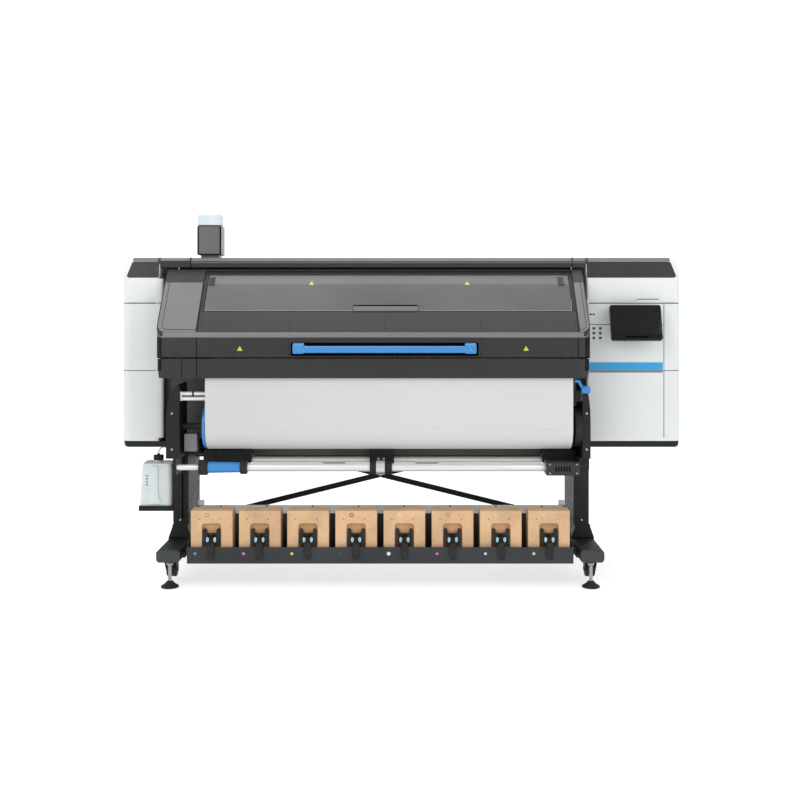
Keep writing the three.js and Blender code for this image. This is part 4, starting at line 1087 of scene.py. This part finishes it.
def make_beams():
    refine("rear_cross_beam", FRAME_BLACK, bevel=0.002)
    refine("front_cross_beam", BEAM_GREY, bevel=0.0015)
    housings = ((-897, -682), (640, 788))
    faces = [((x0 - 0.5, -236, 524.4), (x1 + 0.5, -140, 584)) for x0, x1 in housings]
    blocks("clamp_housings", faces, FRAME_BLACK, "root", 0.002)
    spots = [(x, -236, z) for x0, x1 in housings for x in (x0 + 14, x1 - 14) for z in (537, 572)]
    screws("clamp_screws", spots, RUBBER, "root", 4)
    blocks("centre_clamp", [((-142, -240, 552), (-40, -157, 583)), ((-142, -240, 549), (-128, -214, 553)),
        ((-54, -240, 549), (-40, -214, 553))], FRAME_BLACK, "root", 0.0015)
    blocks("centre_clamp_strap", [((-144, -243, 536), (-38, -239.4, 592))], FRAME_BLACK, "root", 0.001)
    screws("centre_clamp_bolts", [(x, -243, 545) for x in (-104, -80)], METAL, "root", 5)
    blocks("sensor_box", [((-973, -300, 585), (-914, -240, 664))], PALE_GREY_AND_SLOPE_REFLECTION, "root", 0.003)
    blocks("sensor_box_bracket", [((-975, -260, 566), (-905, -170, 583.5))], FRAME_BLACK, "root", 0.001)
    refine("cross_brace", FRAME_BLACK, bevel=0.0008)
    turned("brace_rivet", "y", [((-100, 433), [(14.8, 4), (14.8, 9), (12.8, 11), (11, 8), (10.6, 3)])],
        DARK_METAL, "root", 0, 24)
    refine("chassis_beam", BEAM_GREY, bevel=0.002)
    make_rear_cables()


def make_rear_cables():
    """A bundled pair of cables clipped along the rear beam."""
    for index, z in enumerate((589, 600)):
        turned("rear_cable_%d" % (index + 1), "x", [((52, z - 8),
            [(-970, 2), (-970, 5), (780, 5), (780, 2)])], RUBBER, "root", 0, 12)
    clips = [((x, 44, 574), (x + 14, 60, 583)) for x in range(-880, 760, 180)]
    blocks("cable_clips", clips, TRIM, "root", 0.0008)


# ---- Ink rack, waste bottle and hose -------------------------------------------------------

INK_FRONT, INK_TOP, INK_BOTTOM = -385, 336, 114.3
FIRST_INK_BOX, INK_PITCH = -835, 212
TRAY_FRONT, TRAY_REAR = -405, -124


def make_ink_tray():
    refine("ink_tray", TRAY_GREY, bevel=0.001)
    blocks("tray_rear_rail", [((-939, TRAY_REAR - 5.2, 276), (753, TRAY_REAR - 3.6, 314.4))], RAIL_GREY,
        "root", 0.0004)
    ears = [((x, TRAY_REAR - 5.2, 312), (x + 28, TRAY_REAR - 3.6, 338.3)) for x in (-940, 726)]
    blocks("tray_ears", ears, RAIL_GREY, "root", 0.0004)
    dots = []
    for index in range(8):
        x = FIRST_INK_BOX + INK_PITCH * index
        dots.append((round_spot(x, 308, 4), TRAY_REAR - 6, TRAY_REAR - 4))
        radius = 8.5 if index == 4 else 6.5
        prisms("tray_mark_%d" % (index + 1), "y", [(round_spot(x - 69, 152, radius, 20), TRAY_FRONT - 0.6,
            TRAY_FRONT + 0.5)], DOT_COLOURS[index], "root", 0.0002)
        ink_box(index, x)
    prisms("tray_rail_screws", "y", dots, SEAM_AND_SHADE_BLACK, "root", 0)


def ink_box(index, x):
    """One carton's print, connector, lit valve ports and hose elbow, with painted shade on its top and in
    its recess.
    """
    number = index + 1
    refine("ink_box_%d" % number, CARDBOARD, bevel=0.0015)
    face = INK_FRONT
    ring = round_spot(x - 20, 317, 9, 24)
    prisms("ink_mark_%d" % number, "y", [(ring, face - 0.4, face + 0.4)], DOT_COLOURS[index], "root", 0)
    centre = round_spot(x - 20, 317, 5.5, 20)
    prisms("ink_mark_centre_%d" % number, "y", [(centre, face - 0.6, face + 0.3)], CARDBOARD, "root", 0)
    holes = [(round_spot(x + dx, 299, 2.2, 10), face - 0.4, face + 0.4) for dx in (-55, 38)]
    prisms("ink_box_holes_%d" % number, "y", holes, SEAM_AND_SHADE_BLACK, "root", 0)
    blocks("ink_box_flap_%d" % number, [((x - 90.5, face + 46, INK_TOP - 0.4),
        (x + 90.5, face + 48, INK_TOP + 0.6))], CARDBOARD_SHADE, "root", 0.0002)
    bed = rounded(x - 41.5, x + 41.5, INK_BOTTOM + 1, 279.5, 13.5)
    prisms("ink_recess_bed_%d" % number, "y", [(bed, face + 14.6, face + 15.6)], CARDBOARD_SHADE, "root",
        0.0002)
    connector = [(x - 36, 183), (x + 36, 183), (x + 36, 256), (x + 24, 256), (x + 20, 236), (x - 20, 236),
        (x - 24, 256), (x - 36, 256)]
    prisms("ink_connector_%d" % number, "y", [(connector, face - 6, face + 15)], RUBBER, "root", 0.002, 3)
    valve = [(face + 10, 12), (face - 8, 22), (face - 13, 21), (face - 15, 16), (face - 12, 12)]
    turned("ink_valve_%d" % number, "y", [((x, 215), valve)], GLOSS_BLACK, "root", 0, 32)
    ports = [(round_spot(x + dx, 212, 6, 16, 2), face - 14.6, face - 10) for dx in (-16, 16)]
    prisms("ink_ports_%d" % number, "y", ports, LIGHT_CYAN, "root", 0.001)
    elbow = [(x - 15, 127), (x + 15, 127), (x + 15, 196), (x + 9, 206), (x - 9, 206), (x - 15, 196)]
    outline = rounded(x - 15, x + 15, 126, 200, 13, 5)
    prisms("ink_elbow_%d" % number, "y", [(outline, TRAY_FRONT - 9, TRAY_FRONT - 0.6)], RUBBER, "root",
        0.003, 3)
    prisms("ink_elbow_cap_%d" % number, "y", [(elbow, face - 19, face - 8)], RUBBER, "root", 0.002)
    bridge = [((x - 12, TRAY_FRONT - 3, 181), (x + 12, face - 9, 199))]
    blocks("ink_elbow_bridge_%d" % number, bridge, RUBBER, "root", 0.002)


def make_waste_bottle():
    refine("bottle_shelf", FRAME_BLACK, bevel=0.001)
    lip = [((-1206, -172.8, 294.5), (-1049, -170, 317.5))]
    blocks("bottle_shelf_lip", lip, FRAME_BLACK, "root", 0.001)
    refine("waste_bottle", MILKY, bevel=0.004, segments=4)
    front = -160
    rib = [(-1146, 500), (-1120, 500), (-1118, 470), (-1119, 400), (-1112, 350), (-1097, 321), (-1160, 321),
        (-1146, 350), (-1140, 400), (-1144, 470)]
    prisms("bottle_handle_rib", "y", [(rib, front - 4, front + 3)], MILKY, "root", 0.004, 4)
    marks = [(rounded(-1176, -1166, z, z + 5, 1.5), front - 0.5, front + 0.4) for z in (410, 424, 438, 452)]
    prisms("bottle_level_marks", "y", marks, SEAM_AND_SHADOW_GREY, "root", 0.0002)
    refine("bottle_cap", RUBBER, bevel=0.0008)


def make_drain_hose():
    """The hose rises from the cap, turns through a quarter circle and runs level to the column."""
    x, y, z, top, bend, end = -1.130, -0.100, 0.5506, 0.579, 0.026, -1.0483
    points = [(x, y, z)]
    steps = 12
    for step in range(steps + 1):
        angle = math.radians(90 * step / steps)
        points.append((x + bend - bend * math.cos(angle), y, top - bend + bend * math.sin(angle)))
    points.append((end, y, top))
    data = bpy.data.curves.new("drain_hose_fine", "CURVE")
    data.dimensions = "3D"
    data.bevel_depth = 0.003
    data.bevel_resolution = 4
    data.use_fill_caps = True
    spline = data.splines.new("POLY")
    spline.points.add(len(points) - 1)
    for point, place in zip(spline.points, points):
        point.co = (*place, 1)
    data.materials.append(MILKY)
    hose = bpy.data.objects.new("drain_hose_fine", data)
    bpy.context.scene.collection.objects.link(hose)
    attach(hose, "root")
    stand_for(hose, "drain_hose")
    turned("hose_grommet", "x", [((-100, 579), [(-1054, 3), (-1054, 6), (-1049, 7), (-1048.4, 3)])], RUBBER,
        "root", 0, 24)


# ---- Assembly ------------------------------------------------------------------------------

def refine_the_rest():
    """Every CAD node that no section above stands for gets soft edges and its slot's finish."""
    taken = set()
    for item in bpy.data.objects:
        taken.update(item.get("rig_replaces", []))
    for node in frame["nodes"]:
        if node not in taken:
            refine(node)


make_camera()
make_studio()
for make in (make_pods, make_lids, make_centre_top, make_back, make_front_cover, make_lower_fascia,
        make_handle, make_window, make_print_zone, make_display, make_beacon, make_media,
        make_supply_spindle, make_guide_bars, make_take_up, make_diverter, make_lever, make_foot_beams,
        make_feet, make_casters, make_columns, make_beams, make_ink_tray, make_waste_bottle,
        make_drain_hose):
    make()
refine_the_rest()
